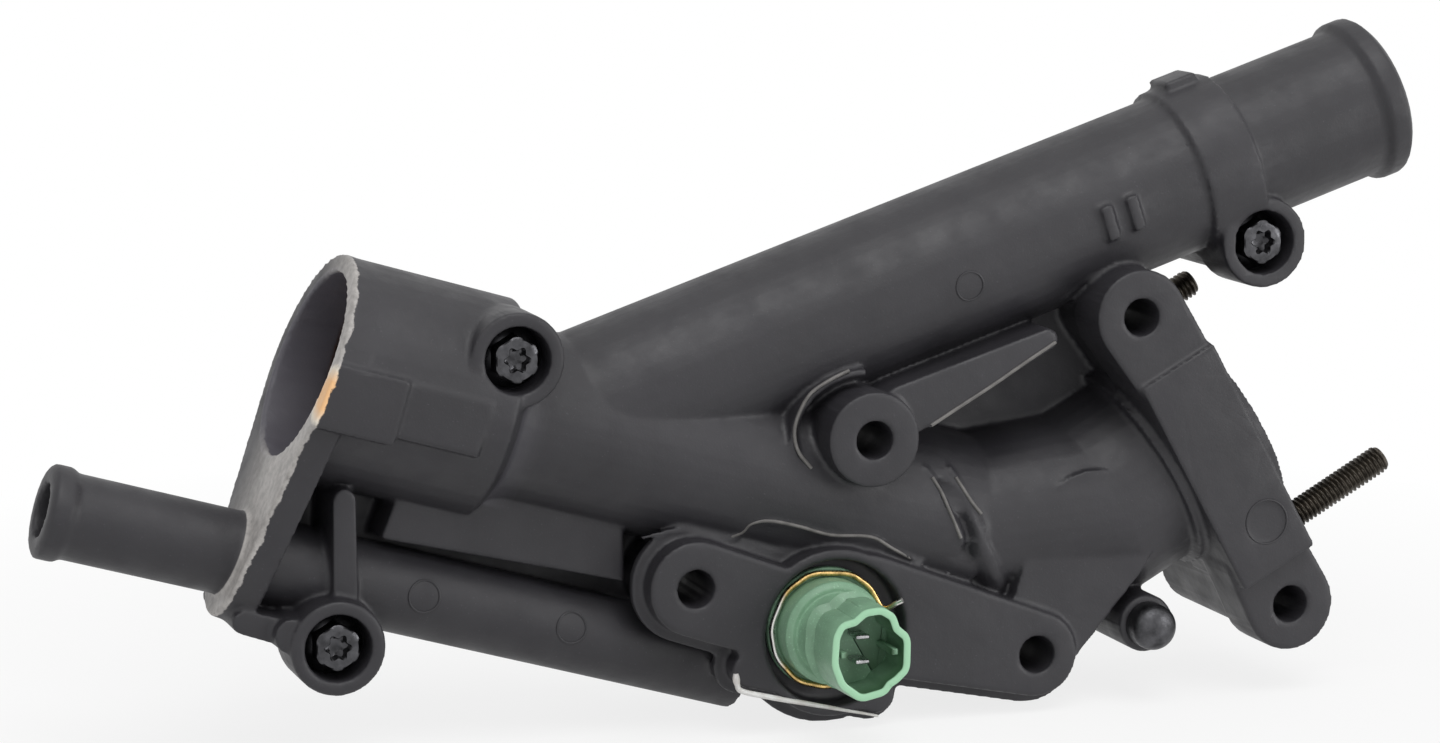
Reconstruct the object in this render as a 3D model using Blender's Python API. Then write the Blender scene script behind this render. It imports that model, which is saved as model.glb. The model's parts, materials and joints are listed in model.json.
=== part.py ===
"""Thermostat housing for an engine's coolant circuit, moulded in glass-filled nylon.

Units are metres. The mounting face on the cylinder head is the plane y = 0, with the head
port at the origin. +X runs along the long side, +Z is up and -Y points away from the engine.
Depths are distances in front of the mounting face.
"""

import math

import bmesh
import bpy
from mathutils import Matrix, Vector

MM = 0.001

# Shared fits
GAP = 0.3 * MM
THROUGH = 2.0 * MM

# Main coolant pipe, rising to the radiator hose stub
MAIN_START = (-50.3 * MM, 31.0 * MM)
MAIN_ANGLE = 18.6
MAIN_DEPTH = 24.0 * MM
MAIN_R = 16.0 * MM
MAIN_WALL = 3.2 * MM
MAIN_RUN = 128.0 * MM
COLLAR_WIDTH = 12.0 * MM
COLLAR_RISE = 1.2 * MM
STUB_STEP = 0.8 * MM
STUB_RUN = 35.0 * MM
BEAD_RISE = 1.4 * MM
BEAD_WIDTH = 5.0 * MM

# Pump mouth on the left, with its flange
MOUTH_START = (-106.0 * MM, 42.9 * MM)
MOUTH_ANGLE = -16.5
MOUTH_R = 21.4 * MM
MOUTH_WALL = 3.3 * MM
MOUTH_RUN = 36.0 * MM
MOUTH_BORE_RUN = 22.0 * MM
FLANGE_ANGLE = -23.0
FLANGE_THICK = 6.0 * MM
FLANGE_LOBE = 12.0 * MM
PAD_RISE = 1.0 * MM
SEAL_WIRE = 1.2 * MM

# Heater pipe below the mouth
HEATER_START = (-155.8 * MM, 18.6 * MM)
HEATER_ANGLE = -16.4
HEATER_DEPTH = 26.0 * MM
HEATER_R = 8.1 * MM
HEATER_WALL = 2.9 * MM
HEATER_RUN = 140.0 * MM
HEATER_BORE_RUN = 127.0 * MM
HEATER_BEAD = 0.8 * MM

# Duct from the mouth to the valve chamber
DUCT_R = 17.2 * MM
DUCT_WALL = 3.5 * MM

# Valve chamber and its outlet ring
CHAMBER_CENTRE = (62.9 * MM, 11.6 * MM)
CHAMBER_ANGLE = 29.0
CHAMBER_DEPTH = 22.5 * MM
CHAMBER_R = 20.3 * MM
CHAMBER_WALL = 4.3 * MM
CHAMBER_BACK = 39.0 * MM
CHAMBER_LEAN = 12.0 * MM
RING_START = 1.5 * MM
RING_END = 22.8 * MM
RING_RISE = 1.9 * MM
INSERT_SEAT = 8.0 * MM
INSERT_STEP = 1.6 * MM
BAND_RISE = 1.7 * MM
BAND_MARK_ALONG = 13.6 * MM
BAND_MARK_DOWN = 15.3 * MM
BAND_MARK_R = 4.4 * MM
EAR_REACH = 34.3 * MM
EAR_ALONG = 10.5 * MM
EAR_R = 9.3 * MM
EAR_A_FRONT = 45.0 * MM
EAR_B_FRONT = 43.5 * MM

# Through holes for the mounting bolts of the engine
HOLE_R = 3.7 * MM
HOLE_WALL = 2.2 * MM
POST_R = 9.2 * MM
POST_FRONT = 46.0 * MM
POST_ALONG = 45.7 * MM
POST_LAND = 2.3 * MM
LAND_DROP = 18.0 * MM
LIP_SIDE = 5.0 * MM
LIP_TOP = 2.9 * MM
LIP_THICK = 1.5 * MM
LIP_DROP = 6.0 * MM
SADDLE_SINK = 2.0 * MM
BLEND_RISE = 7.0 * MM
BLEND_RUN = 62.0 * MM

# Sensor plate
PLATE_FRONT = 42.0 * MM
PLATE_THICK = 5.0 * MM
PLATE_R = 16.4 * MM
PLATE_LOBE = 9.2 * MM
RIM_RISE = 2.2 * MM
RIM_THICK = 2.2 * MM
SENSOR_AT = (-7.6 * MM, -11.5 * MM)
RECESS_AT = (-6.6 * MM, -12.0 * MM)
HOLE_LEFT = (-34.8 * MM, -1.5 * MM)
HOLE_RIGHT = (35.5 * MM, -19.4 * MM)
SKIRT_LEFT = (-24.0 * MM, -18.0 * MM)
SKIRT_RIGHT = (2.0 * MM, -25.0 * MM)
SKIRT_R = 3.4 * MM

# Temperature sensor
RECESS_R = 14.3 * MM
SENSOR_BORE = 8.2 * MM
SENSOR_FLANGE = 10.1 * MM
SENSOR_FLANGE_FRONT = 7.0 * MM
SENSOR_BARREL = 8.0 * MM
SENSOR_LENGTH = 26.0 * MM
PLUG_W = 13.4 * MM
PLUG_H = 15.4 * MM
PLUG_WALL = 1.7 * MM
PLUG_RUN = 11.0 * MM
TIP_BACK = 4.5 * MM
BLADE_W = 2.8 * MM
BLADE_THICK = 0.8 * MM
BLADE_STEP = 4.8 * MM
PROBE_R = 4.0 * MM
PROBE_RUN = 11.0 * MM
SENSOR_SHANK = 7.0 * MM
CLIP_WIRE = 0.55 * MM
CLIP_HOOK_OUT = 1.5 * MM
CLIP_HOOK_FRONT = 3.4 * MM

# Head port
PORT_R = 13.0 * MM
PORT_DEPTH = 30.0 * MM
PORT_LAND = 4.6 * MM
GASKET_WIRE = 1.1 * MM

# Captive mounting bolts in their bosses
BOLT_R = 2.9 * MM
BOLT_TAIL = 13.0 * MM
SLEEVE_WALL = 1.0 * MM
BOSS_R = 9.0 * MM
BOSS_NECK = 7.5 * MM
HEAD_R = 5.9 * MM
HEAD_TALL = 6.0 * MM
WASHER = 1.5 * MM
BOLT_FLATS = 8.0 * MM
BORE_SINK = 7.0 * MM
BOSS_LEFT_ALONG = 57.5 * MM
BOSS_LEFT_FRONT = 40.0 * MM
BOSS_MIDDLE_ALONG = 34.0 * MM
BOSS_MIDDLE_FRONT = 44.0 * MM
BOSS_RIGHT_BACK = 2.8 * MM
BOSS_RIGHT_FRONT = 38.0 * MM

# Studs, vent plug and valve insert
STUD_R = 2.9 * MM
STUD_CIRCLE = 25.5 * MM
STUD_TURN = 26.0
STUD_SINK = 10.0 * MM
STUD_REACH_LOWER = 23.2 * MM
STUD_REACH_UPPER = 11.7 * MM
LUG_R = 5.2 * MM
VENT_R = 4.6 * MM
VENT_STEM = 2.7 * MM
SEAT_R = 11.0 * MM
VALVE_LIP = 1.0 * MM
PLATE_SHEET = 1.2 * MM
CAPSULE_R = 5.5 * MM
PIN_R = 1.6 * MM
SPRING_R = 9.4 * MM
SPRING_WIRE = 0.7 * MM
SPRING_TURNS = 5
TRAVEL = 8.0 * MM
CUP_CLEAR = 4.0 * MM
BRIDGE_BACK = 7.5 * MM
BRIDGE_FRONT = 9.7 * MM

MAIN_BORE = MAIN_R - MAIN_WALL
STUB_R = MAIN_R - STUB_STEP
HEATER_BORE = HEATER_R - HEATER_WALL
MOUTH_BORE = MOUTH_R - MOUTH_WALL
DUCT_BORE = DUCT_R - DUCT_WALL
CHAMBER_BORE = CHAMBER_R - CHAMBER_WALL
INSERT_BORE = CHAMBER_BORE + INSERT_STEP
RING_R = CHAMBER_R + RING_RISE
HOLE_COLUMN = HOLE_R + HOLE_WALL
SLEEVE_IN = BOLT_R + GAP
SLEEVE_OUT = SLEEVE_IN + SLEEVE_WALL
SLEEVE_HOLE = SLEEVE_OUT + GAP
SINK_R = HEAD_R + 0.45 * MM
SENSOR_SEAT = PLATE_FRONT - PLATE_THICK + GAP
SENSOR_FOOT = SENSOR_SEAT - SENSOR_SHANK
FACE_SEAL_R = (INSERT_BORE + RING_R) / 2
GASKET_R = PORT_R + PORT_LAND / 2 + 0.2 * MM
RETAINER_AT = INSERT_SEAT + GAP + PLATE_SHEET + 2 * GAP
BAND_FRONT = CHAMBER_DEPTH + RING_R + BAND_RISE


class Axis:
    """A centre line parallel to the mounting face. Local X is up, Y is the front, Z runs along."""

    def __init__(self, start, degrees, depth):
        turn = math.radians(degrees)
        self.start, self.depth = start, depth
        self.along = Vector((math.cos(turn), 0.0, math.sin(turn)))
        self.up = Vector((-math.sin(turn), 0.0, math.cos(turn)))
        self.frame = frame(Vector((start[0], -depth, start[1])), self.up, self.along)

    def at(self, t, up=0.0):
        """The point in the front view at distance t along the line."""
        return (
            self.start[0] + t * self.along.x + up * self.up.x,
            self.start[1] + t * self.along.z + up * self.up.z,
        )


def frame(origin, x_axis, z_axis):
    y_axis = z_axis.cross(x_axis)
    matrix = Matrix((x_axis, y_axis, z_axis)).transposed().to_4x4()
    matrix.translation = origin
    return matrix


def front_frame(at=(0.0, 0.0), depth=0.0):
    """Local X and Y lie in the front view and local Z is the depth."""
    return frame(Vector((at[0], -depth, at[1])), Vector((1, 0, 0)), Vector((0, -1, 0)))


def sides(radius):
    if radius < 3.2 * MM:
        return 14
    if radius < 5.5 * MM:
        return 20
    return 28 if radius < 11 * MM else 40


def toward(p, q, distance, side=0.0):
    """The point at this distance from p toward q, moved sideways to the left."""
    run = Vector(q) - Vector(p)
    step = run.normalized()
    return tuple(Vector(p) + step * distance + Vector((-step.y, step.x)) * side)


def material(name, colour, roughness, metallic=0.0):
    made = bpy.data.materials.new(name)
    made.use_nodes = True
    shader = made.node_tree.nodes["Principled BSDF"]
    shader.inputs["Base Color"].default_value = (*colour, 1.0)
    shader.inputs["Roughness"].default_value = roughness
    shader.inputs["Metallic"].default_value = metallic
    return made


def solid(name, matrix, rings, closed=False):
    """A body from matching rings of points. The ends are capped, or joined when closed."""
    build = bmesh.new()
    loops = [[build.verts.new(point) for point in ring] for ring in rings]
    count = len(loops[0])
    pairs = list(zip(loops, loops[1:]))
    if closed:
        pairs.append((loops[-1], loops[0]))
    else:
        build.faces.new(reversed(loops[0]))
        build.faces.new(loops[-1])
    for low, high in pairs:
        for k in range(count):
            n = (k + 1) % count
            build.faces.new((low[k], low[n], high[n], high[k]))
    bmesh.ops.recalc_face_normals(build, faces=build.faces)
    if build.calc_volume(signed=True) < 0:
        bmesh.ops.reverse_faces(build, faces=build.faces)
    mesh = bpy.data.meshes.new(name)
    build.to_mesh(mesh)
    build.free()
    made = bpy.data.objects.new(name, mesh)
    made.matrix_world = matrix
    bpy.context.scene.collection.objects.link(made)
    return made


def circle(radius, count, phase=0.0):
    turns = [2 * math.pi * (k + phase) / count for k in range(count)]
    return [(radius * math.cos(turn), radius * math.sin(turn)) for turn in turns]


def turned(name, matrix, profile, count=None):
    """A body turned about local Z from (distance, radius) steps, with flat ends."""
    count = count or sides(max(radius for _, radius in profile))
    rings = [[(x, y, t) for x, y in circle(radius, count)] for t, radius in profile]
    return solid(name, matrix, rings)


def leaning(name, matrix, profile):
    """Like turned, from (distance, radius, up) steps whose centres step aside along local X."""
    count = sides(max(radius for _, radius, _ in profile))
    rings = [[(x + up, y, t) for x, y in circle(radius, count)] for t, radius, up in profile]
    return solid(name, matrix, rings)


def rod(matrix, radius, start, end, name="rod"):
    return turned(name, matrix, [(start, radius), (end, radius)])


def loop(name, matrix, radius, wire, at, count=36):
    """A round-section ring about local Z."""
    rings = []
    for x, y in circle(1.0, count):
        rings.append([((radius + r) * x, (radius + r) * y, at + t) for r, t in circle(wire, 8)])
    return solid(name, matrix, rings, closed=True)


def tube_ring(name, matrix, inner, outer, start, end):
    """A square-section ring about local Z."""
    corners = [(inner, start), (outer, start), (outer, end), (inner, end)]
    rings = [[(r * x, r * y, t) for r, t in corners] for x, y in circle(1.0, sides(outer), 0.5)]
    return solid(name, matrix, rings, closed=True)


def prism(name, matrix, outline, start, end):
    return solid(name, matrix, [[(x, y, t) for x, y in outline] for t in (start, end)])


def block(matrix, x, y, z, name="block"):
    outline = [(x[0], y[0]), (x[1], y[0]), (x[1], y[1]), (x[0], y[1])]
    return prism(name, matrix, outline, *z)


def lobe(matrix, p, p_radius, q, q_radius, start, end, name="lobe"):
    """A prism whose outline is the tight band round two circles."""
    run = Vector(q) - Vector(p)
    lean = math.acos((p_radius - q_radius) / run.length)
    heading = math.atan2(run.y, run.x)
    count = sides(max(p_radius, q_radius)) // 2
    outline = []
    for centre, radius, first, sweep in (
        (q, q_radius, heading - lean, 2 * lean),
        (p, p_radius, heading + lean, 2 * (math.pi - lean)),
    ):
        for k in range(count + 1):
            turn = first + sweep * k / count
            outline.append((centre[0] + radius * math.cos(turn), centre[1] + radius * math.sin(turn)))
    return prism(name, matrix, outline, start, end)


def tube(name, matrix, path, radius, count=8):
    """A round wire along a path, with flat ends."""
    points = [Vector(point) for point in path]
    tangent = (points[1] - points[0]).normalized()
    side = tangent.orthogonal().normalized()
    rings = []
    for k, point in enumerate(points):
        ahead = points[min(k + 1, len(points) - 1)] - points[max(k - 1, 0)]
        turn = tangent.rotation_difference(ahead.normalized())
        tangent, side = ahead.normalized(), turn @ side
        over = tangent.cross(side)
        rings.append([tuple(point + side * x + over * y) for x, y in circle(radius, count)])
    return solid(name, matrix, rings)


def combine(base, tools, operation, solver="EXACT"):
    """Joins the tools to the base, or cuts them out of it, and keeps only the result."""
    for tool in tools:
        step = base.modifiers.new(operation, "BOOLEAN")
        step.operation = operation
        step.solver = solver
        step.object = tool
    graph = bpy.context.evaluated_depsgraph_get()
    shaped = bpy.data.meshes.new_from_object(base.evaluated_get(graph))
    base.modifiers.clear()
    base.data = shaped
    for tool in tools:
        bpy.data.objects.remove(tool)
    return base


def settled(obj):
    """Moves the shape's coordinates to the object's frame, so that level faces stay exactly level."""
    obj.data.transform(obj.matrix_world)
    obj.matrix_world = Matrix()
    return obj


def join(base, *tools):
    return combine(base, tools, "UNION")


def cut(base, *tools):
    return combine(base, tools, "DIFFERENCE")


def weld(body, *tools):
    """Joins tools to the housing. The exact solver opens its mesh where lobes nearly line up."""
    return combine(body, tools, "UNION", "MANIFOLD")


def carve(body, *tools):
    """Cuts tools out of the housing, with the same solver as its joins."""
    return combine(body, tools, "DIFFERENCE", "MANIFOLD")


def finish(obj, name, made):
    obj.name = name
    obj.data.name = name
    obj.data.materials.clear()
    obj.data.materials.append(made)
    obj.data.shade_smooth()
    obj.data.set_sharp_from_angle(angle=math.radians(35))
    return obj


MAIN = Axis(MAIN_START, MAIN_ANGLE, MAIN_DEPTH)
MOUTH = Axis(MOUTH_START, MOUTH_ANGLE, MAIN_DEPTH)
FLANGE = Axis(MOUTH_START, FLANGE_ANGLE, MAIN_DEPTH)
HEATER = Axis(HEATER_START, HEATER_ANGLE, HEATER_DEPTH)
CHAMBER = Axis(CHAMBER_CENTRE, CHAMBER_ANGLE, CHAMBER_DEPTH)
FRONT = front_frame()

DUCT_FROM = MOUTH.at(MOUTH_RUN - 2 * MM)
DUCT_TO = CHAMBER.at(-CHAMBER_BACK + 3 * MM, CHAMBER_LEAN)
DUCT = Axis(
    DUCT_FROM,
    math.degrees(math.atan2(DUCT_TO[1] - DUCT_FROM[1], DUCT_TO[0] - DUCT_FROM[0])),
    MAIN_DEPTH,
)
DUCT_RUN = (Vector(DUCT_TO) - Vector(DUCT_FROM)).length

# Bosses sit beside the pipe that carries them
POST = MAIN.at(POST_ALONG, -MAIN_R - 4.8 * MM)
BOSSES = {
    "left": (HEATER.at(BOSS_LEFT_ALONG, -HEATER_R - BOSS_R / 3), BOSS_LEFT_FRONT),
    "middle": (MOUTH.at(BOSS_MIDDLE_ALONG, MOUTH_R - BOSS_R - 0.8 * MM), BOSS_MIDDLE_FRONT),
    "right": (MAIN.at(MAIN_RUN + COLLAR_WIDTH - BOSS_RIGHT_BACK, -STUB_R - 1.1 * MM), BOSS_RIGHT_FRONT),
}
EAR_A = CHAMBER.at(EAR_ALONG, EAR_REACH)
EAR_B = CHAMBER.at(EAR_ALONG + 1 * MM, -EAR_REACH)
VENT = CHAMBER.at(-15.8 * MM, -CHAMBER_R - 1.8 * MM)
STUDS = {"lower": (-1, RING_END + STUD_REACH_LOWER), "upper": (1, RING_END + STUD_REACH_UPPER)}


def mouth_end():
    """The mouth, its pads and its flange, cut to one oblique face."""
    body = turned(
        "mouth",
        MOUTH.frame,
        [
            (-16 * MM, MOUTH_R),
            (MOUTH_RUN, MOUTH_R),
            (MOUTH_RUN + 3 * MM, DUCT_R + 0.6 * MM),
            (MOUTH_RUN + 8 * MM, DUCT_R - 0.5 * MM),
        ],
    )
    pad = MOUTH_R + PAD_RISE
    stub = FLANGE.frame.inverted() @ Vector((HEATER.at(35.2 * MM)[0], 0, HEATER.at(35.2 * MM)[1]))
    plate = lobe(
        FLANGE.frame,
        (0, 0),
        MOUTH_R + 0.4 * MM,
        (stub.x, HEATER_DEPTH - MAIN_DEPTH),
        FLANGE_LOBE,
        -THROUGH,
        FLANGE_THICK,
    )
    join(
        body,
        plate,
        block(MOUTH.frame, (-9.0 * MM, 3.3 * MM), (10 * MM, pad), (-10 * MM, 14.5 * MM)),
        block(MOUTH.frame, (-7.5 * MM, 2.9 * MM), (10 * MM, pad - 0.8 * MM), (14 * MM, 31 * MM)),
    )
    far = 60 * MM
    return cut(body, block(FLANGE.frame, (-far, far), (-far, far), (-far, 0.0)))


def main_pipe():
    stub_end = MAIN_RUN + COLLAR_WIDTH + STUB_RUN
    bead = STUB_R + BEAD_RISE
    return turned(
        "main",
        MAIN.frame,
        [
            (-14 * MM, MAIN_R - 5 * MM),
            (-8 * MM, MAIN_R),
            (MAIN_RUN, MAIN_R),
            (MAIN_RUN, MAIN_R + COLLAR_RISE),
            (MAIN_RUN + COLLAR_WIDTH, MAIN_R + COLLAR_RISE),
            (MAIN_RUN + COLLAR_WIDTH, STUB_R),
            (stub_end - BEAD_WIDTH - 1.4 * MM, STUB_R),
            (stub_end - BEAD_WIDTH, bead),
            (stub_end - 1.5 * MM, bead),
            (stub_end, STUB_R - 0.6 * MM),
        ],
    )


def heater_pipe():
    bead = HEATER_R + HEATER_BEAD
    return turned(
        "heater",
        HEATER.frame,
        [
            (0.0, HEATER_R - 0.4 * MM),
            (0.8 * MM, bead),
            (4.0 * MM, bead),
            (5.2 * MM, HEATER_R),
            (HEATER_RUN, HEATER_R),
        ],
        40,
    )


def chamber():
    """The valve chamber. Its back leans up to meet the duct and its front ends in a ring."""
    back = CHAMBER_R - 1.6 * MM
    return leaning(
        "chamber",
        CHAMBER.frame,
        [
            (-CHAMBER_BACK - 4 * MM, back - 5 * MM, CHAMBER_LEAN),
            (-CHAMBER_BACK - 1.5 * MM, back - 0.4 * MM, CHAMBER_LEAN),
            (-CHAMBER_BACK, back + 0.8 * MM, CHAMBER_LEAN),
            (-CHAMBER_BACK + 1.6 * MM, back + 0.8 * MM, CHAMBER_LEAN),
            (-CHAMBER_BACK + 2.4 * MM, back, CHAMBER_LEAN),
            (-10 * MM, CHAMBER_R, 0.0),
            (RING_START, CHAMBER_R, 0.0),
            (RING_START, RING_R, 0.0),
            (RING_END, RING_R, 0.0),
        ],
    )


def plate_outline(grow, back, front):
    """The sensor plate's lobes, grown or shrunk evenly, between two depths."""
    lobe_r, skirt_r = PLATE_LOBE + grow, SKIRT_R + grow
    shoulder = toward(SENSOR_AT, HOLE_RIGHT, 6 * MM, 4.0 * MM)
    return [
        rod(front_frame(RECESS_AT), PLATE_R + grow, back, front),
        lobe(FRONT, HOLE_LEFT, lobe_r, SENSOR_AT, lobe_r - 0.4 * MM, back, front),
        lobe(FRONT, HOLE_RIGHT, lobe_r - 0.8 * MM, shoulder, lobe_r + 2.4 * MM, back, front),
        lobe(FRONT, SKIRT_LEFT, skirt_r, SKIRT_RIGHT, skirt_r + 0.2 * MM, back, front),
        lobe(FRONT, SKIRT_LEFT, skirt_r + 0.1 * MM, SENSOR_AT, skirt_r + 0.5 * MM, back, front),
        lobe(FRONT, SKIRT_RIGHT, skirt_r + 0.1 * MM, SENSOR_AT, skirt_r + 3 * MM, back, front),
    ]


def post_lip():
    """A low curved wall on the left of the post, with a moat between them."""
    outline = []
    for half, turns in ((LIP_THICK / 2, range(88, 233, 16)), (-LIP_THICK / 2, range(232, 87, -16))):
        wide, tall = POST_R + LIP_SIDE + half, POST_R + LIP_TOP + half
        for turn in turns:
            outline.append((wide * math.cos(math.radians(turn)), tall * math.sin(math.radians(turn))))
    return prism("post_lip", front_frame(POST), outline, MAIN_DEPTH - MAIN_R + 3 * MM, POST_FRONT - LIP_DROP)


def outer_shell():
    """Everything that shows from outside, still without its hollows."""
    body = settled(mouth_end())
    weld(
        body,
        rod(DUCT.frame, DUCT_R, -2 * MM, DUCT_RUN),
        main_pipe(),
        heater_pipe(),
        chamber(),
    )
    # Sensor plate on its box, with the weld rim between the two shells
    rim = PLATE_FRONT - PLATE_THICK
    weld(body, *plate_outline(-1.0 * MM, -THROUGH, rim + 1 * MM))
    weld(body, *plate_outline(RIM_RISE, rim - RIM_THICK, rim))
    weld(body, *plate_outline(0.0, rim - 1 * MM, PLATE_FRONT))
    # Band and ears across the outlet ring
    middle = (RING_START + RING_END) / 2 - 0.6 * MM
    band = 1.9 * MM
    weld(
        body,
        block(
            CHAMBER.frame,
            (-RING_R - 3 * MM, RING_R),
            (0.0, RING_R + BAND_RISE),
            (RING_START + band, RING_END - 2.2 * MM),
        ),
        *[
            lobe(FRONT, ear, EAR_R, CHAMBER.at(middle, side * RING_R), EAR_R - 0.6 * MM, front - 12 * MM, front)
            for ear, side, front in ((EAR_A, 1, EAR_A_FRONT), (EAR_B, -1, EAR_B_FRONT))
        ],
        *[
            lobe(
                FRONT,
                ear,
                EAR_R - 1.6 * MM,
                CHAMBER.at(middle, side * (CHAMBER_R - 5.3 * MM)),
                EAR_R - 3 * MM,
                -THROUGH,
                front - 10 * MM,
            )
            for ear, side, front in ((EAR_A, 1, EAR_A_FRONT), (EAR_B, -1, EAR_B_FRONT))
        ],
    )
    # Root of the right lobe, run up into the chamber
    weld(
        body,
        lobe(
            FRONT,
            HOLE_RIGHT,
            PLATE_LOBE - 1.6 * MM,
            CHAMBER.at(-17 * MM),
            13 * MM,
            3 * MM,
            PLATE_FRONT - 1.4 * MM,
        ),
    )
    # Mounting post, its pedestal and the web to the upper ear
    weld(
        body,
        rod(front_frame(POST), POST_R, 4 * MM, POST_FRONT),
        rod(front_frame(POST), POST_R + POST_LAND, 4 * MM, POST_FRONT - LAND_DROP),
        post_lip(),
        lobe(
            FRONT,
            toward(POST, EAR_A, POST_R - 0.7 * MM, 1.5 * MM),
            5.2 * MM,
            toward(EAR_A, POST, 2 * EAR_R, -2.8 * MM),
            2.1 * MM,
            MAIN_DEPTH - 9 * MM,
            POST_FRONT - 4 * MM,
        ),
    )
    # Webs between the pipes
    weld(
        body,
        prism(
            "saddle",
            FRONT,
            [DUCT.at(0), DUCT.at(DUCT_RUN), CHAMBER.at(0), MAIN.at(MAIN_RUN - MAIN_R), MAIN.at(0)],
            MAIN_DEPTH - MAIN_R + 3 * MM,
            MAIN_DEPTH - SADDLE_SINK,
        ),
        prism(
            "blend",
            FRONT,
            [DUCT.at(0), DUCT.at(BLEND_RUN), MAIN.at(POST_ALONG - POST_R / 2), MAIN.at(0)],
            MAIN_DEPTH - MAIN_R + 3 * MM,
            MAIN_DEPTH + BLEND_RISE,
        ),
        prism(
            "ledge",
            FRONT,
            [DUCT.at(-10 * MM), HEATER.at(62 * MM, 9.5 * MM), HEATER.at(111 * MM, 12 * MM), DUCT.at(28 * MM)],
            HEATER_DEPTH - 13 * MM,
            HEATER_DEPTH + 6 * MM,
        ),
        prism(
            "back_web",
            FRONT,
            [
                FLANGE.at(3 * MM, -FLANGE_LOBE),
                HEATER.at(36 * MM),
                HEATER.at(HEATER_RUN - 15 * MM),
                DUCT.at(45 * MM),
                DUCT.at(0),
            ],
            HEATER_DEPTH - 12 * MM,
            HEATER_DEPTH - 5 * MM,
        ),
    )
    # Rib and foot that carry the left boss
    left, left_front = BOSSES["left"]
    foot = HEATER.at(39.8 * MM, -FLANGE_LOBE + 1.2 * MM)
    weld(
        body,
        lobe(
            FRONT,
            (left[0] + 2.4 * MM, left[1] + 3 * MM),
            2.5 * MM,
            (left[0] + 2.4 * MM, left[1] + 27 * MM),
            2.2 * MM,
            9 * MM,
            left_front - 4 * MM,
        ),
        lobe(FRONT, left, 3 * MM, foot, 2.2 * MM, 9 * MM, left_front - 4 * MM),
        rod(front_frame(toward(foot, left, 9 * MM)), 3.4 * MM, 9 * MM, left_front - 1.5 * MM),
    )
    # Small mouldings: collar nub, pipe lug, vent boss and stud lugs
    weld(
        body,
        block(
            MAIN.frame,
            (MAIN_R - 2 * MM, MAIN_R + COLLAR_RISE + 1.5 * MM),
            (-4 * MM, 4 * MM),
            (MAIN_RUN + 2.5 * MM, MAIN_RUN + COLLAR_WIDTH - 2.5 * MM),
        ),
        *[
            block(MAIN.frame, (-3.5 * MM, 3.5 * MM), (8 * MM, MAIN_R + 1.2 * MM), (t, t + 2.4 * MM))
            for t in (MAIN_RUN - 23 * MM, MAIN_RUN - 17.4 * MM)
        ],
        rod(front_frame(VENT), VENT_R + 1.15 * MM, 18 * MM, 40 * MM),
    )
    for side, _ in STUDS.values():
        weld(body, rod(stud_frame(side), LUG_R, RING_START + 5 * MM, RING_END - 0.2 * MM))
    right, _ = BOSSES["right"]
    weld(
        body,
        lobe(
            FRONT,
            MAIN.at(MAIN_RUN + COLLAR_WIDTH / 2, -MAIN_R + 3 * MM),
            COLLAR_WIDTH / 2,
            right,
            BOSS_NECK - 0.8 * MM,
            MAIN_DEPTH - 14 * MM,
            MAIN_DEPTH + 2 * MM,
        ),
    )
    for at, front in BOSSES.values():
        weld(
            body,
            rod(front_frame(at), BOSS_NECK, -THROUGH, front - 6 * MM),
            rod(front_frame(at), BOSS_R, front - 13 * MM, front),
        )
    weld(body, rod(FRONT, PORT_R + PORT_LAND, -THROUGH, 20 * MM))
    return body


def stud_frame(side):
    """An axis parallel to the chamber's, on the stud circle."""
    turn = math.radians(STUD_TURN)
    shift = Matrix.Translation((side * STUD_CIRCLE * math.cos(turn), -side * STUD_CIRCLE * math.sin(turn), 0))
    return CHAMBER.frame @ shift


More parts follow.
